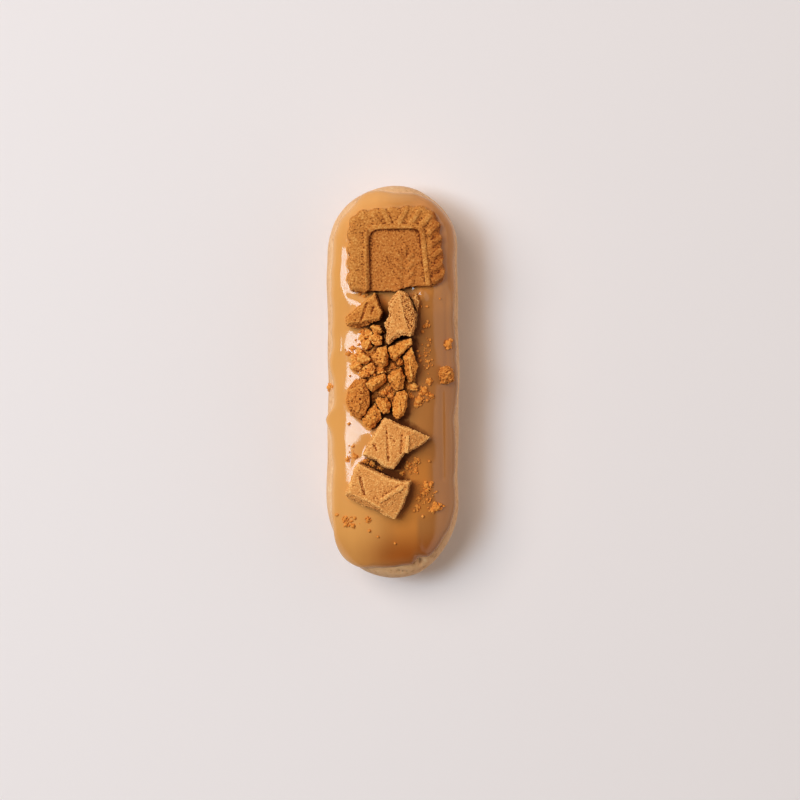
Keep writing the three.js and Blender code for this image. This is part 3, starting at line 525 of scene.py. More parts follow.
def shut_in(tree, neighbours, reach):
    """Share of the sky above each point that neighbouring pieces shut out, for painted shade."""
    place, normal = place_and_normal(tree)
    pieces = add(tree, "GeometryNodeObjectInfo", Object=neighbours).outputs["Geometry"]
    on_slope = zone(tree, place, [RIGHT_SLOPE])
    start = vector_calc(tree, "MULTIPLY_ADD", normal, (SHUT_IN_LIFT * MM,) * 3, place)
    lean_left = Euler((0, -SHUT_IN_LEAN, 0)).to_matrix()
    lean_right = Euler((0, SHUT_IN_LEAN, 0)).to_matrix()
    hits = 0.0
    for elevation, count in SHUT_IN_RAYS:
        climb = math.radians(elevation)
        for i in range(count):
            turn = 2 * math.pi * i / count
            flat = math.cos(climb)
            way = Vector((flat * math.cos(turn), flat * math.sin(turn), math.sin(climb)))
            settings = {"data_type": "VECTOR"}
            leans = {"A": lean_left @ way, "B": lean_right @ way}
            leant = add(tree, "ShaderNodeMix", settings, Factor=on_slope, **leans)
            ray = add(
                tree, "GeometryNodeRaycast", Target_Geometry=pieces, Source_Position=start,
                Ray_Direction=shown_output(leant), Ray_Length=reach,
            )
            hits = calc(tree, "ADD", ray.outputs["Is Hit"], hits)
    return calc(tree, "DIVIDE", hits, sum(count for _, count in SHUT_IN_RAYS))


def crumbly_relief():
    """Relief of baked dough: clumps, grains and pores, calmer on faces that look up, jagged where it broke.

    It also notes where the surface stands out ("relief") and where neighbours shut it in ("hollow").
    """
    numbers = [(label, "NodeSocketFloat") for label in RELIEF_SIZES + RELIEF_SHARES]
    inputs = [("Neighbours", "NodeSocketObject"), ("Blur", "NodeSocketInt"), *numbers]
    tree, entry, leave = shape_tree("crumbly relief", inputs)
    value = entry.outputs
    seed = value["Seed"]
    place, normal = place_and_normal(tree)
    up = part(tree, normal, "Z")
    steepest = calc(tree, "SUBTRACT", value["Calm Above"], CALM_SPAN)

    def by_slope(on_sides, on_top):
        return smooth_range(tree, up, steepest, value["Calm Above"], on_sides, on_top)

    def swing(label, detail, finer=1.0):
        scale = calc(tree, "DIVIDE", finer, value[label])
        return noise_swing(tree, place, seed, scale, detail)

    rounded = blurred(tree, place, value["Blur"])
    body = add(tree, "GeometryNodeSetPosition", Geometry=value["Geometry"], Position=rounded).outputs[0]
    clumps = calc(tree, "MULTIPLY_ADD", calc(tree, "ABSOLUTE", swing("Lump Size", 2.0)), *CLUMP_SHAPE)
    settings = {"voronoi_dimensions": "4D"}
    grain_scale = calc(tree, "DIVIDE", 1.0, value["Grain Size"])
    cells = add(tree, "ShaderNodeTexVoronoi", settings, Vector=place, W=seed, Scale=grain_scale)
    bumps = smooth_range(tree, cells.outputs["Distance"], *GRAIN_BUMPS)
    sand = swing("Grain Size", 3.0, finer=SAND_FINENESS)
    sandy = calc(tree, "MULTIPLY_ADD", sand, SAND_SHARE, bumps)
    pores = smooth_range(tree, swing("Pore Size", 2.0), *PORE_EDGE, 0.0, 1.0)
    grain = calc(tree, "MULTIPLY", sandy, value["Grain Depth"])
    fine = calc(tree, "SUBTRACT", grain, calc(tree, "MULTIPLY", pores, value["Pore Depth"]))
    lift = calc(tree, "MULTIPLY_ADD", clumps, value["Lump Depth"], fine)
    calmed = calc(tree, "MULTIPLY_ADD", lift, by_slope(1.0, value["Calm"]), value["Swell"])
    below = calc(tree, "LESS_THAN", part(tree, place, "Y"), value["Break Below"])
    broken = calc(tree, "MULTIPLY", below, by_slope(1.0, 0.0))
    jags = calc(tree, "MULTIPLY", swing("Break Size", 3.0), value["Break Depth"])
    height = calc(tree, "ADD", calmed, calc(tree, "MULTIPLY", jags, broken))
    moved = moved_by(tree, body, scaled(tree, normal, height))
    # painted light where the surface stands out, painted shade in its hollows and on its steep sides, noted
    # as relief
    tone = calc(tree, "MULTIPLY_ADD", standing_out(tree, *CLOSE_UP), CLOSE_UP_TONE, MIDDLE_TONE)
    tone = calc(tree, "ADD", tone, by_slope(STEEP_SIDE_SHADE, 0.0))
    broadly = calc(tree, "MINIMUM", standing_out(tree, *BROADLY), value["Lightest"])
    tone = calc(tree, "MULTIPLY_ADD", broadly, value["Contrast"], tone)
    hollow = shut_in(tree, value["Neighbours"], value["Reach"])
    stored = with_note(tree, with_note(tree, moved, "relief", tone), "hollow", hollow)
    put_out(tree, leave, shaded_smooth(tree, stored), value["Finish"])
    return tree


def shaded_glaze():
    """Notes where the toppings shut the glaze in, for painted shade, and gives it its finish."""
    tree, entry, leave = shape_tree(
        "shaded glaze", [("Neighbours", "NodeSocketObject"), ("Reach", "NodeSocketFloat")]
    )
    value = entry.outputs
    hollow = shut_in(tree, value["Neighbours"], value["Reach"])
    put_out(tree, leave, with_note(tree, value["Geometry"], "hollow", hollow), value["Finish"])
    return tree


def crust_relief():
    """Relief of the choux crust: broad swellings, lengthwise wrinkles and fine grain."""
    labels = ["Swelling", "Wrinkle Depth", "Grain Depth", "Seed"]
    tree, entry, leave = shape_tree("crust relief", [(label, "NodeSocketFloat") for label in labels])
    value = entry.outputs
    place, normal = place_and_normal(tree)
    drawn = vector_calc(tree, "MULTIPLY", place, WRINKLE_DRAW)
    swelling = noise_swing(tree, place, value["Seed"], 1 / (SWELLING_SIZE * MM), 1.0)
    wrinkles = noise_swing(tree, drawn, value["Seed"], 1 / (WRINKLE_SIZE * MM), 2.0)
    grain = noise_swing(tree, place, value["Seed"], 1 / (CRUST_GRAIN_SIZE * MM), 3.0)
    wrinkled = calc(tree, "MULTIPLY", wrinkles, value["Wrinkle Depth"])
    fine = calc(tree, "ADD", wrinkled, calc(tree, "MULTIPLY", grain, value["Grain Depth"]))
    lift = calc(tree, "MULTIPLY_ADD", swelling, value["Swelling"], fine)
    off_floor = zone(tree, place, [("Z", *FLAT_FOOT, 0.0, 1.0)])
    offset = scaled(tree, normal, calc(tree, "MULTIPLY", lift, off_floor))
    moved = moved_by(tree, value["Geometry"], offset)
    depth = calc(tree, "ADD", value["Wrinkle Depth"], value["Grain Depth"])
    # painted shade in the wrinkles' hollows and painted light on their crests, noted as relief
    tone = calc(tree, "MULTIPLY_ADD", calc(tree, "DIVIDE", fine, depth), 0.5, 0.5)
    stored = with_note(tree, moved, "relief", tone)
    put_out(tree, leave, shaded_smooth(tree, stored), value["Finish"])
    return tree


def crumb_grains():
    """A rough grain on every point, as large as the point's radius says."""
    tree, entry, leave = shape_tree(
        "crumb grains", [("Roughness", "NodeSocketFloat"), ("Seed", "NodeSocketInt")]
    )
    value = entry.outputs
    radius = add(tree, "GeometryNodeInputNamedAttribute", Name="radius").outputs[0]

    def drawn(least, most, seed):
        settings = {"data_type": "FLOAT_VECTOR"}
        return add(tree, "FunctionNodeRandomValue", settings, Min=least, Max=most, Seed=seed).outputs[0]

    stretch = drawn(*GRAIN_STRETCH, value["Seed"])
    turn = drawn(*GRAIN_TURN, calc(tree, "ADD", value["Seed"], 1.0))
    ball = add(tree, "GeometryNodeMeshIcoSphere", Radius=1.0, Subdivisions=2).outputs[0]
    placed = add(
        tree, "GeometryNodeInstanceOnPoints",
        Points=value["Geometry"], Instance=ball, Rotation=turn, Scale=scaled(tree, stretch, radius),
    ).outputs[0]
    whole = add(tree, "GeometryNodeRealizeInstances", Geometry=placed).outputs[0]
    place, normal = place_and_normal(tree)
    rough = noise_swing(tree, place, 3.0, 1 / (GRAIN_PITS * MM), 3.0)
    depth = calc(tree, "MULTIPLY", rough, calc(tree, "MULTIPLY", value["Roughness"], radius))
    moved = moved_by(tree, whole, scaled(tree, normal, depth))
    # painted shade in the grains' pits and painted light on their bumps
    tone = calc(tree, "MULTIPLY_ADD", rough, 0.35, 0.6)
    put_out(tree, leave, with_note(tree, moved, "relief", tone), value["Finish"])
    return tree


# Materials
def noted(tree, name):
    return add(tree, "ShaderNodeAttribute", {"attribute_name": name}).outputs["Fac"]


def object_place(tree):
    return tree.nodes.new("ShaderNodeTexCoord").outputs["Object"]


def clouds(tree, place, scale, detail):
    return add(tree, "ShaderNodeTexNoise", Vector=place, Scale=scale, Detail=detail).outputs[0]


def sandy_tone():
    """Colour of a baked surface: speckled, with painted light on grains that stand out and painted shade in
    pores and gaps.
    """
    colours = [(label, "NodeSocketColor") for label in ("Deep", "Pore", "Base", "Grain")]
    numbers = [(label, "NodeSocketFloat") for label in ("Speckle Size", "Speckle Strength")]
    outputs = [("Colour", "NodeSocketColor"), ("Speckle", "NodeSocketFloat")]
    tree, entry, leave = new_tree("sandy tone", "ShaderNodeTree", colours + numbers, outputs)
    value = entry.outputs
    place = object_place(tree)
    speckle = clouds(tree, place, calc(tree, "DIVIDE", 1.0, value["Speckle Size"]), 3.0)
    speckled = calc(tree, "SUBTRACT", speckle, 0.5)
    broad = calc(tree, "SUBTRACT", clouds(tree, place, 1 / (BROAD_TONE_SIZE * MM), 1.0), 0.5)
    shade = calc(tree, "MULTIPLY_ADD", speckled, value["Speckle Strength"], noted(tree, "relief"))
    shade = calc(tree, "MULTIPLY_ADD", broad, BROAD_TONE_STRENGTH, shade)
    lower = mixed(tree, smooth_range(tree, shade, *PORE_TONES, 0.0, 1.0), value["Pore"], value["Base"])
    upper = mixed(tree, smooth_range(tree, shade, *GRAIN_TONES, 0.0, 1.0), lower, value["Grain"])
    # painted shade where neighbours shut the surface in
    shut = smooth_range(tree, noted(tree, "hollow"), *GAP_SHADE, 0.0, 1.0)
    tree.links.new(mixed(tree, shut, upper, value["Deep"]), leave.inputs["Colour"])
    tree.links.new(speckle, leave.inputs["Speckle"])
    return tree


def new_material(name):
    material = bpy.data.materials.new(name)
    material.use_nodes = True
    tree = material.node_tree
    return material, tree, tree.nodes["Principled BSDF"]


def baked_material(name, tone):
    """A sandy baked finish, with the values that the finish of that name has."""
    pore, base, grain, speckle_size, roughness, speckle_strength = BAKED_FINISHES[name]
    material, tree, shader = new_material(name)
    group = add(
        tree, "ShaderNodeGroup", {"node_tree": tone}, Deep=GAP_SHADE_COLOUR, Pore=pore, Base=base, Grain=grain,
        Speckle_Size=speckle_size * MM, Speckle_Strength=speckle_strength,
    )
    tree.links.new(group.outputs["Colour"], shader.inputs["Base Color"])
    height = group.outputs["Speckle"]
    bump = add(tree, "ShaderNodeBump", Strength=0.35, Distance=SPECKLE_BUMP * MM, Height=height)
    tree.links.new(bump.outputs[0], shader.inputs["Normal"])
    shader.inputs["Roughness"].default_value = roughness
    shader.inputs["Specular IOR Level"].default_value = 0.25
    return material


def lay_tints(material, tints):
    """Darkens a finish zone by zone."""
    tree = material.node_tree
    socket = tree.nodes["Principled BSDF"].inputs["Base Color"]
    colour = socket.links[0].from_socket
    settings = {"data_type": "RGBA", "blend_type": "MULTIPLY"}
    for tint, ramps in tints:
        share = zone(tree, object_place(tree), ramps)
        colour = shown_output(add(tree, "ShaderNodeMix", settings, Factor=share, A=colour, B=tint))
    tree.links.new(colour, socket)


def glaze_material():
    """Caramel, pale on the left and darker towards the right and the low end, as painted shade."""
    material, tree, shader = new_material("caramel glaze")
    place = object_place(tree)
    drawn = vector_calc(tree, "MULTIPLY", place, CLOUD_DRAW)
    cloud = clouds(tree, drawn, 1 / (CLOUD_SIZE * MM), 2.0)
    swirl_and_top_light = calc(tree, "MULTIPLY_ADD", cloud, CLOUD_STRENGTH, -CLOUD_STRENGTH / 2)
    # painted light towards the upper end, on top of the random clouds
    swirl_and_top_light = calc(tree, "SUBTRACT", swirl_and_top_light, zone(tree, place, LIGHTER_ABOVE))
    # painted shade towards the right
    cloud_and_shade = calc(tree, "ADD", zone(tree, place, SHADED_RIGHTWARDS), swirl_and_top_light)
    cloud_and_shade = calc(tree, "MINIMUM", calc(tree, "MAXIMUM", cloud_and_shade, 0.0), 1.0)
    colour = mixed(tree, cloud_and_shade, GLAZE_PALE, GLAZE_DARK)
    for tone, laid, left_out in GLAZE_TONES:
        kept = calc(tree, "SUBTRACT", 1.0, zone(tree, place, left_out))
        share = calc(tree, "MULTIPLY", zone(tree, place, laid), kept)
        colour = mixed(tree, share, colour, tone)
    # paler near the lip and on the low left: thin glaze, partly a painted reflection of the pale floor
    near_lip = smooth_range(tree, noted(tree, "from_lip"), *LIP_FILM_WIDTH, 1.0, 0.0)
    lip_film_and_reflection = calc(tree, "MULTIPLY", near_lip, zone(tree, place, LIP_FILM_AND_REFLECTION))
    film_and_reflection = calc(tree, "MAXIMUM", lip_film_and_reflection, zone(tree, place, RUN_FILM_AND_REFLECTION))
    colour = mixed(tree, film_and_reflection, colour, GLAZE_FILM_AND_REFLECTION)
    hollow = noted(tree, "hollow")
    # painted shade where the toppings shut the glaze in, a painted glow close below the biscuit
    shade = mixed(tree, zone(tree, place, BELOW_BISCUIT), GLAZE_SHADE_COLOUR, GLAZE_PAINTED_GLOW)
    colour = mixed(tree, smooth_range(tree, hollow, *GLAZE_SHADE), colour, shade)
    tree.links.new(colour, shader.inputs["Base Color"])
    tree.links.new(smooth_range(tree, hollow, *GLAZE_COAT), shader.inputs["Coat Weight"])
    shader.inputs["Roughness"].default_value = 0.4
    shader.inputs["Specular IOR Level"].default_value = 0.0
    shader.inputs["Coat Roughness"].default_value = 0.1
    return material


# The loaf's form
def wave_sum(waves, around):
    return sum(size * np.cos(2 * np.pi * (turns * around + shift)) for turns, size, shift in waves)


def bell(away, width):
    return np.exp(-((away / width) ** 2))


def station(around):
    """The spine's Y and the way out from it at a place about the outline, which starts low on the right."""
    corners = np.cumsum([0, SIDE_SHARE, END_SHARE, SIDE_SHARE, END_SHARE])
    turned = np.mod(around, 1.0)
    spine_y = np.interp(turned, corners, [-LOW_SPINE, SPINE, SPINE, -LOW_SPINE, -LOW_SPINE])
    direction = np.interp(turned, corners, [0, 0, np.pi, np.pi, 2 * np.pi])
    return spine_y, direction


def loaf_point(around, angle, coat):
    """A point on the crust or a depth of glaze above it. angle climbs from the underside to the ridge."""
    spine_y, direction = station(around)
    reach = HALF_WIDTH * (1 + wave_sum(OUTLINE_WAVES, around))
    rise = np.where(angle > 0, DOME_RISE, FOOT_DEPTH)
    power = np.where(angle > 0, DOME_SQUARENESS, FOOT_SQUARENESS)
    across = np.maximum(0, np.cos(angle)) ** (2 / power)
    up = np.sign(angle) * np.abs(np.sin(angle)) ** (2 / power)
    normal_out = across ** (power - 1) / reach
    normal_up = np.abs(up) ** (power - 1) / rise
    length = np.hypot(normal_out, normal_up)
    radius = np.where(angle >= np.pi / 2 - 1e-9, 0, reach * across + coat * normal_out / length)
    x = radius * np.cos(direction)
    stretch = np.where(np.sin(direction) < 0, LOW_END_STRETCH, 1.0)
    y = spine_y + radius * np.sin(direction) * stretch
    height = np.maximum(0, BELLY_HEIGHT + rise * up) + coat * normal_up / length
    z = height * (1 - LENGTH_DOME * (y / HALF_LENGTH) ** 2)
    return np.stack(np.broadcast_arrays(x, y, z), axis=-1)


def edge_angle(around):
    """How far up the cross-section the glaze ends."""
    _, direction = station(around)
    right = np.cos(direction)
    top = np.sin(direction)
    degrees = EDGE_SIDES + EDGE_RIGHTWARDS * right + EDGE_ENDS * top**2 + EDGE_TOWARDS_TOP * top
    degrees = degrees + wave_sum(EDGE_WAVES, around)
    for at, reach, fall in DRIPS:
        away = around - at - np.round(around - at)
        degrees = degrees - fall * bell(away, reach)
    return np.radians(degrees)


def weld(mesh, slivers=False):
    """Joins points that coincide, and takes out slivers if asked to."""
    work = bmesh.new()
    work.from_mesh(mesh)
    bmesh.ops.remove_doubles(work, verts=work.verts, dist=WELD * MM)
    if slivers:
        bmesh.ops.dissolve_degenerate(work, edges=work.edges, dist=SLIVER * MM)
    work.to_mesh(mesh)
    work.free()


def grid_mesh(name, points, layer, values):
    """A closed mesh from rows of points: it wraps round along the first axis, and its end rows close.

    A number for each point is kept as a named attribute.
    """
    columns, rows, _ = points.shape
    index = np.arange(columns * rows).reshape(columns, rows)
    beside = np.roll(index, -1, axis=0)
    corners = [index[:, :-1], beside[:, :-1], beside[:, 1:], index[:, 1:]]
    quads = np.stack(corners, axis=-1).reshape(-1, 4)
    mesh = bpy.data.meshes.new(name)
    mesh.from_pydata((points.reshape(-1, 3) * MM).tolist(), [], quads.tolist())
    mesh.attributes.new(layer, "FLOAT", "POINT").data.foreach_set("value", values.ravel())
    weld(mesh, slivers=True)
    mesh.shade_smooth()
    return mesh


def choux_points():
    around = (np.arange(CHOUX_COLUMNS) / CHOUX_COLUMNS)[:, None]
    foot = -math.asin((BELLY_HEIGHT / FOOT_DEPTH) ** (FOOT_SQUARENESS / 2))
    under = np.linspace(-np.pi / 2, foot, CHOUX_UNDER_ROWS)[:-1]
    side = np.linspace(foot, CHOUX_HIDDEN_FROM, CHOUX_SIDE_ROWS)
    hidden = np.linspace(CHOUX_HIDDEN_FROM, np.pi / 2, CHOUX_HIDDEN_ROWS)[1:]
    angle = np.concatenate([under, side, hidden])[None, :]
    return loaf_point(around, angle, 0.0)


def frame_shift():
    """How far the solids' frame lies from the loaf's own middle."""
    points = choux_points().reshape(-1, 3)
    low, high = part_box("choux_shell")
    own = (points.min(axis=0) + points.max(axis=0)) / 2
    shift = (np.array(low) + np.array(high)) / 2 / MM - own
    return np.array([shift[0], shift[1], 0.0])


SHIFT = frame_shift()


# Toppings
def baked_piece(node, name, slot, material, voxel, **values):
    """The solid's form in fine mesh with crumbly relief."""
    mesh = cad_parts[node].data.copy()
    weld(mesh)
    mesh.materials.clear()
    obj = new_object(name, mesh)
    remesh = obj.modifiers.new("fine mesh", "REMESH")
    remesh.mode = "VOXEL"
    remesh.voxel_size = voxel * MM
    values["Reach"] = NEIGHBOUR_REACH
    for key in values:
        if key.replace("_", " ") in RELIEF_SIZES:
            values[key] = values[key] * MM
    give_tree(obj, relief, Neighbours=neighbours, Finish=material, **values)
    make_plain(obj)
    finish_piece(obj, slot, node)
    return obj


def together(nodes):
    """Several solids in one object, for feeling where they shut each other in."""
    work = bmesh.new()
    for node in nodes:
        work.from_mesh(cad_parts[node].data)
    mesh = bpy.data.meshes.new("toppings")
    work.to_mesh(mesh)
    work.free()
    return new_object("toppings", mesh)


def lookup_of(objects):
    """A search tree over several objects' meshes."""
    vertices = []
    polygons = []
    for obj in objects:
        start = len(vertices)
        vertices.extend(vertex.co.copy() for vertex in obj.data.vertices)
        polygons.extend([start + i for i in polygon.vertices] for polygon in obj.data.polygons)
    return BVHTree.FromPolygons(vertices, polygons)


# The glaze
def segment_distance(points, start, end):
    """Distance in plan from points to a straight stretch."""
    start, end = np.array(start), np.array(end)
    way = end - start
    share = np.clip(((points[..., :2] - start) @ way) / (way @ way), 0, 1)
    nearest = start + share[..., None] * way
    return np.linalg.norm(points[..., :2] - nearest, axis=-1)


def fold_height(points):
    return sum(
        height * bell(segment_distance(points, start, end), width)
        for start, end, width, height in GLAZE_FOLDS
    )


def plan_outline(node):
    """The convex outline of a solid in plan."""
    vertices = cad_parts[node].data.vertices
    corners = np.array([vertex.co[:2] for vertex in vertices]) / MM - SHIFT[:2]
    corners = np.unique(corners.round(2), axis=0)
    return corners[convex_hull_2d([Vector(corner) for corner in corners])]


def outside_distance(points, outline):
    """Distance in plan to a convex outline, below zero inside it."""
    ends = np.roll(outline, -1, axis=0)
    distance = np.min([segment_distance(points, a, b) for a, b in zip(outline, ends)], axis=0)
    turns = []
    for a, b in zip(outline, ends):
        turns.append((b[0] - a[0]) * (points[..., 1] - a[1]) - (b[1] - a[1]) * (points[..., 0] - a[0]))
    turns = np.array(turns)
    within = np.all(turns >= 0, axis=0) | np.all(turns <= 0, axis=0)
    return np.where(within, -distance, distance)


def row_neighbours(field):
    padded = np.pad(field, ((0, 0), (1, 1)), mode="edge")
    return padded[:, :-2], padded[:, 2:]


def column_neighbours(field):
    return np.roll(field, 1, axis=0), np.roll(field, -1, axis=0)


def underside_gaps(points, toppings):
    """How far above each point of the glaze an underside lies, without end where none lies near."""
    start_below = 1.5
    reach = 4.0
    gaps = np.full(points.shape[:2], math.inf)
    up = Vector((0, 0, 1))
    for place in np.ndindex(gaps.shape):
        origin = Vector(points[place] + SHIFT) * MM - up * start_below * MM
        hit, normal, _, distance = toppings.ray_cast(origin, up, reach * MM)
        if hit is not None and normal.z < 0:
            gaps[place] = distance / MM - start_below
    return gaps


def drawn_up(points, toppings):
    """How far the glaze rises to meet the undersides of the toppings, fading out round them."""
    gaps = underside_gaps(points, toppings)
    rise = np.where(gaps < MENISCUS_GAP, np.maximum(0.0, gaps + MENISCUS_OVERLAP), 0.0)
    fixed = np.minimum(rise, MENISCUS_HEIGHT)
    drawn = fixed
    row_share = 0.44
    column_share = 0.5 - row_share
    for _ in range(MENISCUS_SPREAD):
        rows = sum(row_neighbours(drawn))
        columns = sum(column_neighbours(drawn))
        drawn = np.maximum(fixed, row_share * rows + column_share * columns)
    held = rise
    for _ in range(RISE_INSET_ROWS):
        held = np.minimum(held, np.minimum(*row_neighbours(held)))
    held = np.minimum(held, np.minimum(*column_neighbours(held)))
    return np.maximum(held, drawn)


def glaze_points(toppings):
    """The glaze's points, underside first, and how far each lies from the lip."""
    around = (np.arange(GLAZE_COLUMNS) / GLAZE_COLUMNS)[:, None]
    edge = edge_angle(around)
    share = np.linspace(0, 1, GLAZE_ROWS)[None, :] ** GLAZE_ROW_POWER
    reach = np.cos(edge) ** (2 / DOME_SQUARENESS) * (1 - share)
    angle = np.arccos(reach ** (DOME_SQUARENESS / 2))
    climb = np.sin(angle) ** (2 / DOME_SQUARENESS)
    from_lip = np.hypot(HALF_WIDTH * (reach[:, :1] - reach), DOME_RISE * (climb - climb[:, :1]))
    inset = 1 - np.minimum(1, from_lip / GLAZE_LIP)
    coat = GLAZE_ROOT + (GLAZE_DEPTH - GLAZE_ROOT) * np.sqrt(1 - inset**2)
    coat = coat + GLAZE_BEAD * bell(from_lip - GLAZE_LIP, GLAZE_BEAD_WIDTH)
    for at, half_width, depth in DRIP_BEADS:
        coat = coat + depth * bell(around - at, half_width) * bell(from_lip - DRIP_BEAD_AT, DRIP_BEAD_AT)
    points = loaf_point(around, angle, coat)
    settled = np.minimum(1, from_lip / GLAZE_SETTLED)
    away = outside_distance(points, plan_outline("biscuit_half"))
    collar_width = np.where(away < COLLAR_OUT, COLLAR_RISE, COLLAR_FALL)
    collar = COLLAR_HEIGHT * bell(away - COLLAR_OUT, collar_width)
    fill_from, fill_to = FILL_ACROSS
    rightwards = np.clip((points[..., 0] - fill_from) / (fill_to - fill_from), 0, 1)
    collar = collar + FILL_HEIGHT * rightwards * bell(np.maximum(away, 0), FILL_FALL)
    points[..., 2] += settled * (fold_height(points) + collar)
    points[..., 2] += settled * drawn_up(points, toppings)
    under_angle = edge + (np.pi / 2 - edge) * np.linspace(1, 0, GLAZE_UNDER_ROWS)[None, :]
    under = loaf_point(around, under_angle, GLAZE_UNDER)
    no_distance = np.zeros(under.shape[:2])
    return np.concatenate([under, points], axis=1), np.concatenate([no_distance, from_lip], axis=1)


def glaze_piece(toppings, material):
    points, from_lip = glaze_points(toppings)
    mesh = grid_mesh("caramel_glaze_skin", points + SHIFT, "from_lip", from_lip)
    obj = new_object("caramel_glaze_skin", mesh)
    give_tree(obj, shaded_glaze(), Neighbours=broken_pieces, Reach=NEIGHBOUR_REACH * MM, Finish=material)
    make_plain(obj)
    finish_piece(obj, "glaze", "caramel_glaze")
    return obj


def choux_piece(material):
    points = choux_points()
    hollow = np.zeros(points.shape[:2])
    for x, y, radius, depth in CRUST_HOLES:
        away = np.hypot(points[..., 0] - x, points[..., 1] - y)
        share = np.where(points[..., 2] > BELLY_HEIGHT, bell(away, radius), 0.0)
        inwards = np.array([0.0, -LOW_SPINE, BELLY_HEIGHT]) - points
        inwards = inwards / np.linalg.norm(inwards, axis=-1, keepdims=True)
        points = points + (share * depth)[..., None] * inwards
        hollow = np.maximum(hollow, HOLE_SHADE * share)
    obj = new_object("choux_crust", grid_mesh("choux_crust", points + SHIFT, "hollow", hollow))
    give_tree(obj, crust_relief(), Finish=material, **CRUST_RELIEF)
    make_plain(obj)
    finish_piece(obj, "choux", "choux_shell")
    return obj


def crumb_piece(ground, material):
    """Crumbs on the eclair, each a clump of grains when it is large."""
    draw = np.random.default_rng(CRUMB_SEED)
    surface = lookup_of(ground)
    overhead = 60.0
    places = []
    radii = []

    def settle(x, y, radius):
        origin = Vector((x + SHIFT[0], y + SHIFT[1], overhead)) * MM
        hit, _, _, _ = surface.ray_cast(origin, Vector((0, 0, -1)))
        if hit is not None:
            places.append((hit.x, hit.y, hit.z + CRUMB_LIFT * radius * MM))
            radii.append(radius * MM)

    by_radius, besides = CLUMP_GRAINS
    for x, y, radius in CRUMBS + GAP_CRUMBS:
        if radius < CLUMP_FROM:
            settle(x, y, LONE_CRUMB * radius)
            continue
        settle(x, y, CLUMP_CORE * radius)
        for _ in range(int(by_radius * radius + besides)):
            turn = draw.uniform(0, 2 * math.pi)
            away = radius * draw.uniform(*CLUMP_SPREAD)
            settle(x + away * math.cos(turn), y + away * math.sin(turn), radius * draw.uniform(*CLUMP_GRAIN))
    for x, y, spread_x, spread_y, count in STREWN:
        for _ in range(count):
            at_x = draw.normal(x, spread_x / STREWN_TIGHTNESS)
            at_y = draw.normal(y, spread_y / STREWN_TIGHTNESS)
            settle(at_x, at_y, draw.uniform(*STREWN_RADIUS))
    mesh = bpy.data.meshes.new("loose_crumbs")
    mesh.from_pydata(places, [], [])
    mesh.attributes.new("radius", "FLOAT", "POINT").data.foreach_set("value", radii)
    obj = new_object("loose_crumbs", mesh)
    give_tree(obj, crumb_grains(), Roughness=CRUMB_ROUGHNESS, Seed=CRUMB_SEED, Finish=material)
    make_plain(obj)
    finish_piece(obj, "crumb")


# The stage
def soft_room():
    """A dim room with soft daylight and a pale wall on the right that shows more in gloss."""
    world = bpy.data.worlds.new("soft room")
    world.use_nodes = True
    tree = world.node_tree
    way = tree.nodes.new("ShaderNodeTexCoord").outputs["Generated"]
    right = part(tree, way, "X")
    towards_top = part(tree, way, "Y")
    in_gloss = tree.nodes.new("ShaderNodeLightPath").outputs["Is Glossy Ray"]
    wall_strength = calc(tree, "MULTIPLY_ADD", in_gloss, WALL_GLOSS, WALL_LIGHT)
    wall = calc(tree, "MULTIPLY", smooth_range(tree, right, *WALL_EDGE), wall_strength)
    daylight = smooth_range(tree, towards_top, *DAYLIGHT)
    sheen = calc(tree, "MULTIPLY", smooth_range(tree, towards_top, *SHEEN), in_gloss)
    glow = calc(tree, "ADD", calc(tree, "ADD", wall, daylight), sheen)
    background = tree.nodes["Background"]
    tree.links.new(mixed(tree, in_gloss, ROOM_LIGHT, ROOM_GLOSS), background.inputs["Color"])
    tree.links.new(glow, background.inputs["Strength"])
    return world


def pale_floor():
    """A pale floor that glows faintly."""
    side = FLOOR_SIDE
    corners = [(-side, -side, 0), (side, -side, 0), (side, side, 0), (-side, side, 0)]
    mesh = bpy.data.meshes.new("floor")
    mesh.from_pydata(corners, [], [(0, 1, 2, 3)])
    material, _, shader = new_material("pale floor")
    shader.inputs["Base Color"].default_value = FLOOR_COLOUR
    shader.inputs["Emission Color"].default_value = FLOOR_GLOW
    shader.inputs["Emission Strength"].default_value = 0.1
    shader.inputs["Roughness"].default_value = 0.6
    mesh.materials.append(material)
    new_object("floor", mesh)


def soft_light(name, place, size, power, colour):
    """A rectangular light that faces the origin."""
    light = bpy.data.lights.new(name, "AREA")
    light.shape = "RECTANGLE"
    light.size, light.size_y = size
    light.energy = power
    light.color = colour
    obj = new_object(name, light)
    obj.location = place
    lean = math.atan2(place[2], math.hypot(place[0], place[1]))
    obj.rotation_euler = (0, lean - math.pi / 2, math.atan2(-place[1], -place[0]))
    return obj


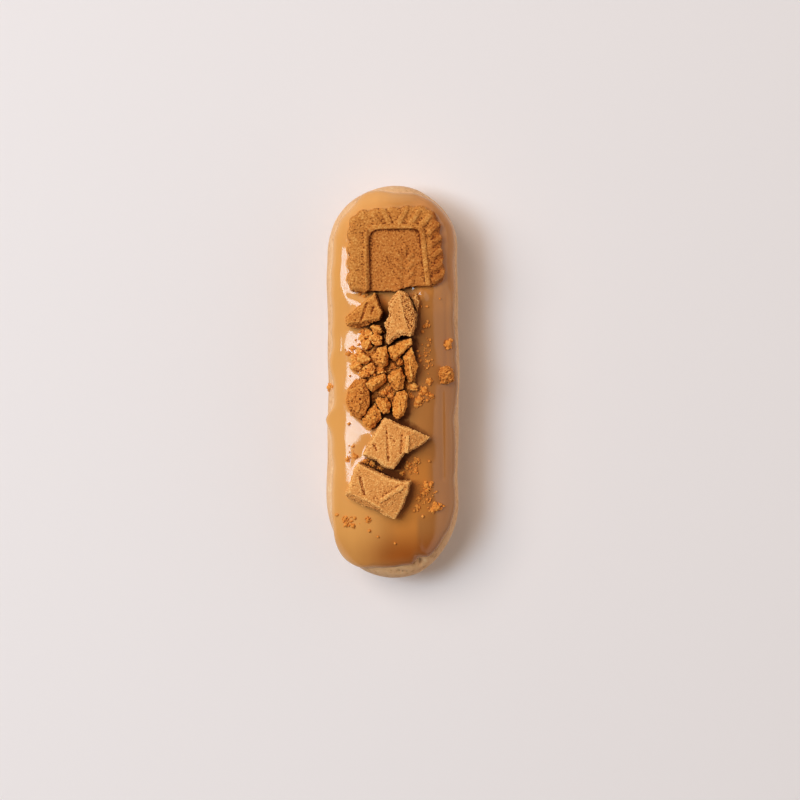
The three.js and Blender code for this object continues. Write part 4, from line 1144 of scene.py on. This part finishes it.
def set_stage():
    """The floor, a softbox and a window to the left, the room and a camera that looks straight down."""
    scene = bpy.context.scene
    scene.view_settings.view_transform = "Standard"
    scene.view_settings.gamma = VIEW_GAMMA
    pale_floor()
    soft_light("softbox", *SOFTBOX)
    window = soft_light("window", *WINDOW)
    window.visible_glossy = False
    scene.world = soft_room()
    camera = bpy.data.cameras.new("camera")
    camera.lens = CAMERA_LENS
    camera.sensor_width = CAMERA_SENSOR
    obj = new_object("camera", camera)
    obj.location = (np.array(CAMERA_PLACE) + SHIFT) * MM
    scene.camera = obj


tone = sandy_tone()
finishes = {name: baked_material(name, tone) for name in BAKED_FINISHES}
lay_tints(finishes["biscuit face"], BISCUIT_TINTS)
relief = crumbly_relief()
broken_nodes = [*SHARD_NODES, *CHUNK_NODES, "crumble_heap"]
broken_pieces = together(broken_nodes)
neighbours = together(["biscuit_half", *broken_nodes])

finish = finishes["biscuit face"]
toppings = [baked_piece("biscuit_half", "spiced_biscuit", "biscuit", finish, **BISCUIT_RELIEF)]
for count, node in enumerate(SHARD_NODES):
    finish = finishes["browner shard" if node in BROWN_NODES else "biscuit shard"]
    values = SHARD_RELIEF | (SCORED_FACE if node in SCORED_NODES else {})
    values["Seed"] = SHARD_SEED + count
    toppings.append(baked_piece(node, node + "_piece", "biscuit", finish, **values))
for count, node in enumerate(CHUNK_NODES):
    finish = finishes["darker broken biscuit" if node in PITTED_NODES else "broken biscuit"]
    values = CHUNK_RELIEF | (DEEP_PORES if node in PITTED_NODES else {})
    values["Seed"] = CHUNK_SEED + count
    toppings.append(baked_piece(node, node + "_piece", "crumb", finish, **values))
heap = baked_piece("crumble_heap", "crumble_heap_pieces", "crumb", finishes["broken biscuit"], **HEAP_RELIEF)
toppings.append(heap)
choux = choux_piece(finishes["baked choux"])
glaze = glaze_piece(lookup_of(toppings), glaze_material())
bpy.data.objects.remove(neighbours)
bpy.data.objects.remove(broken_pieces)
crumb_piece([choux, glaze, heap], finishes["broken biscuit"])
set_stage()
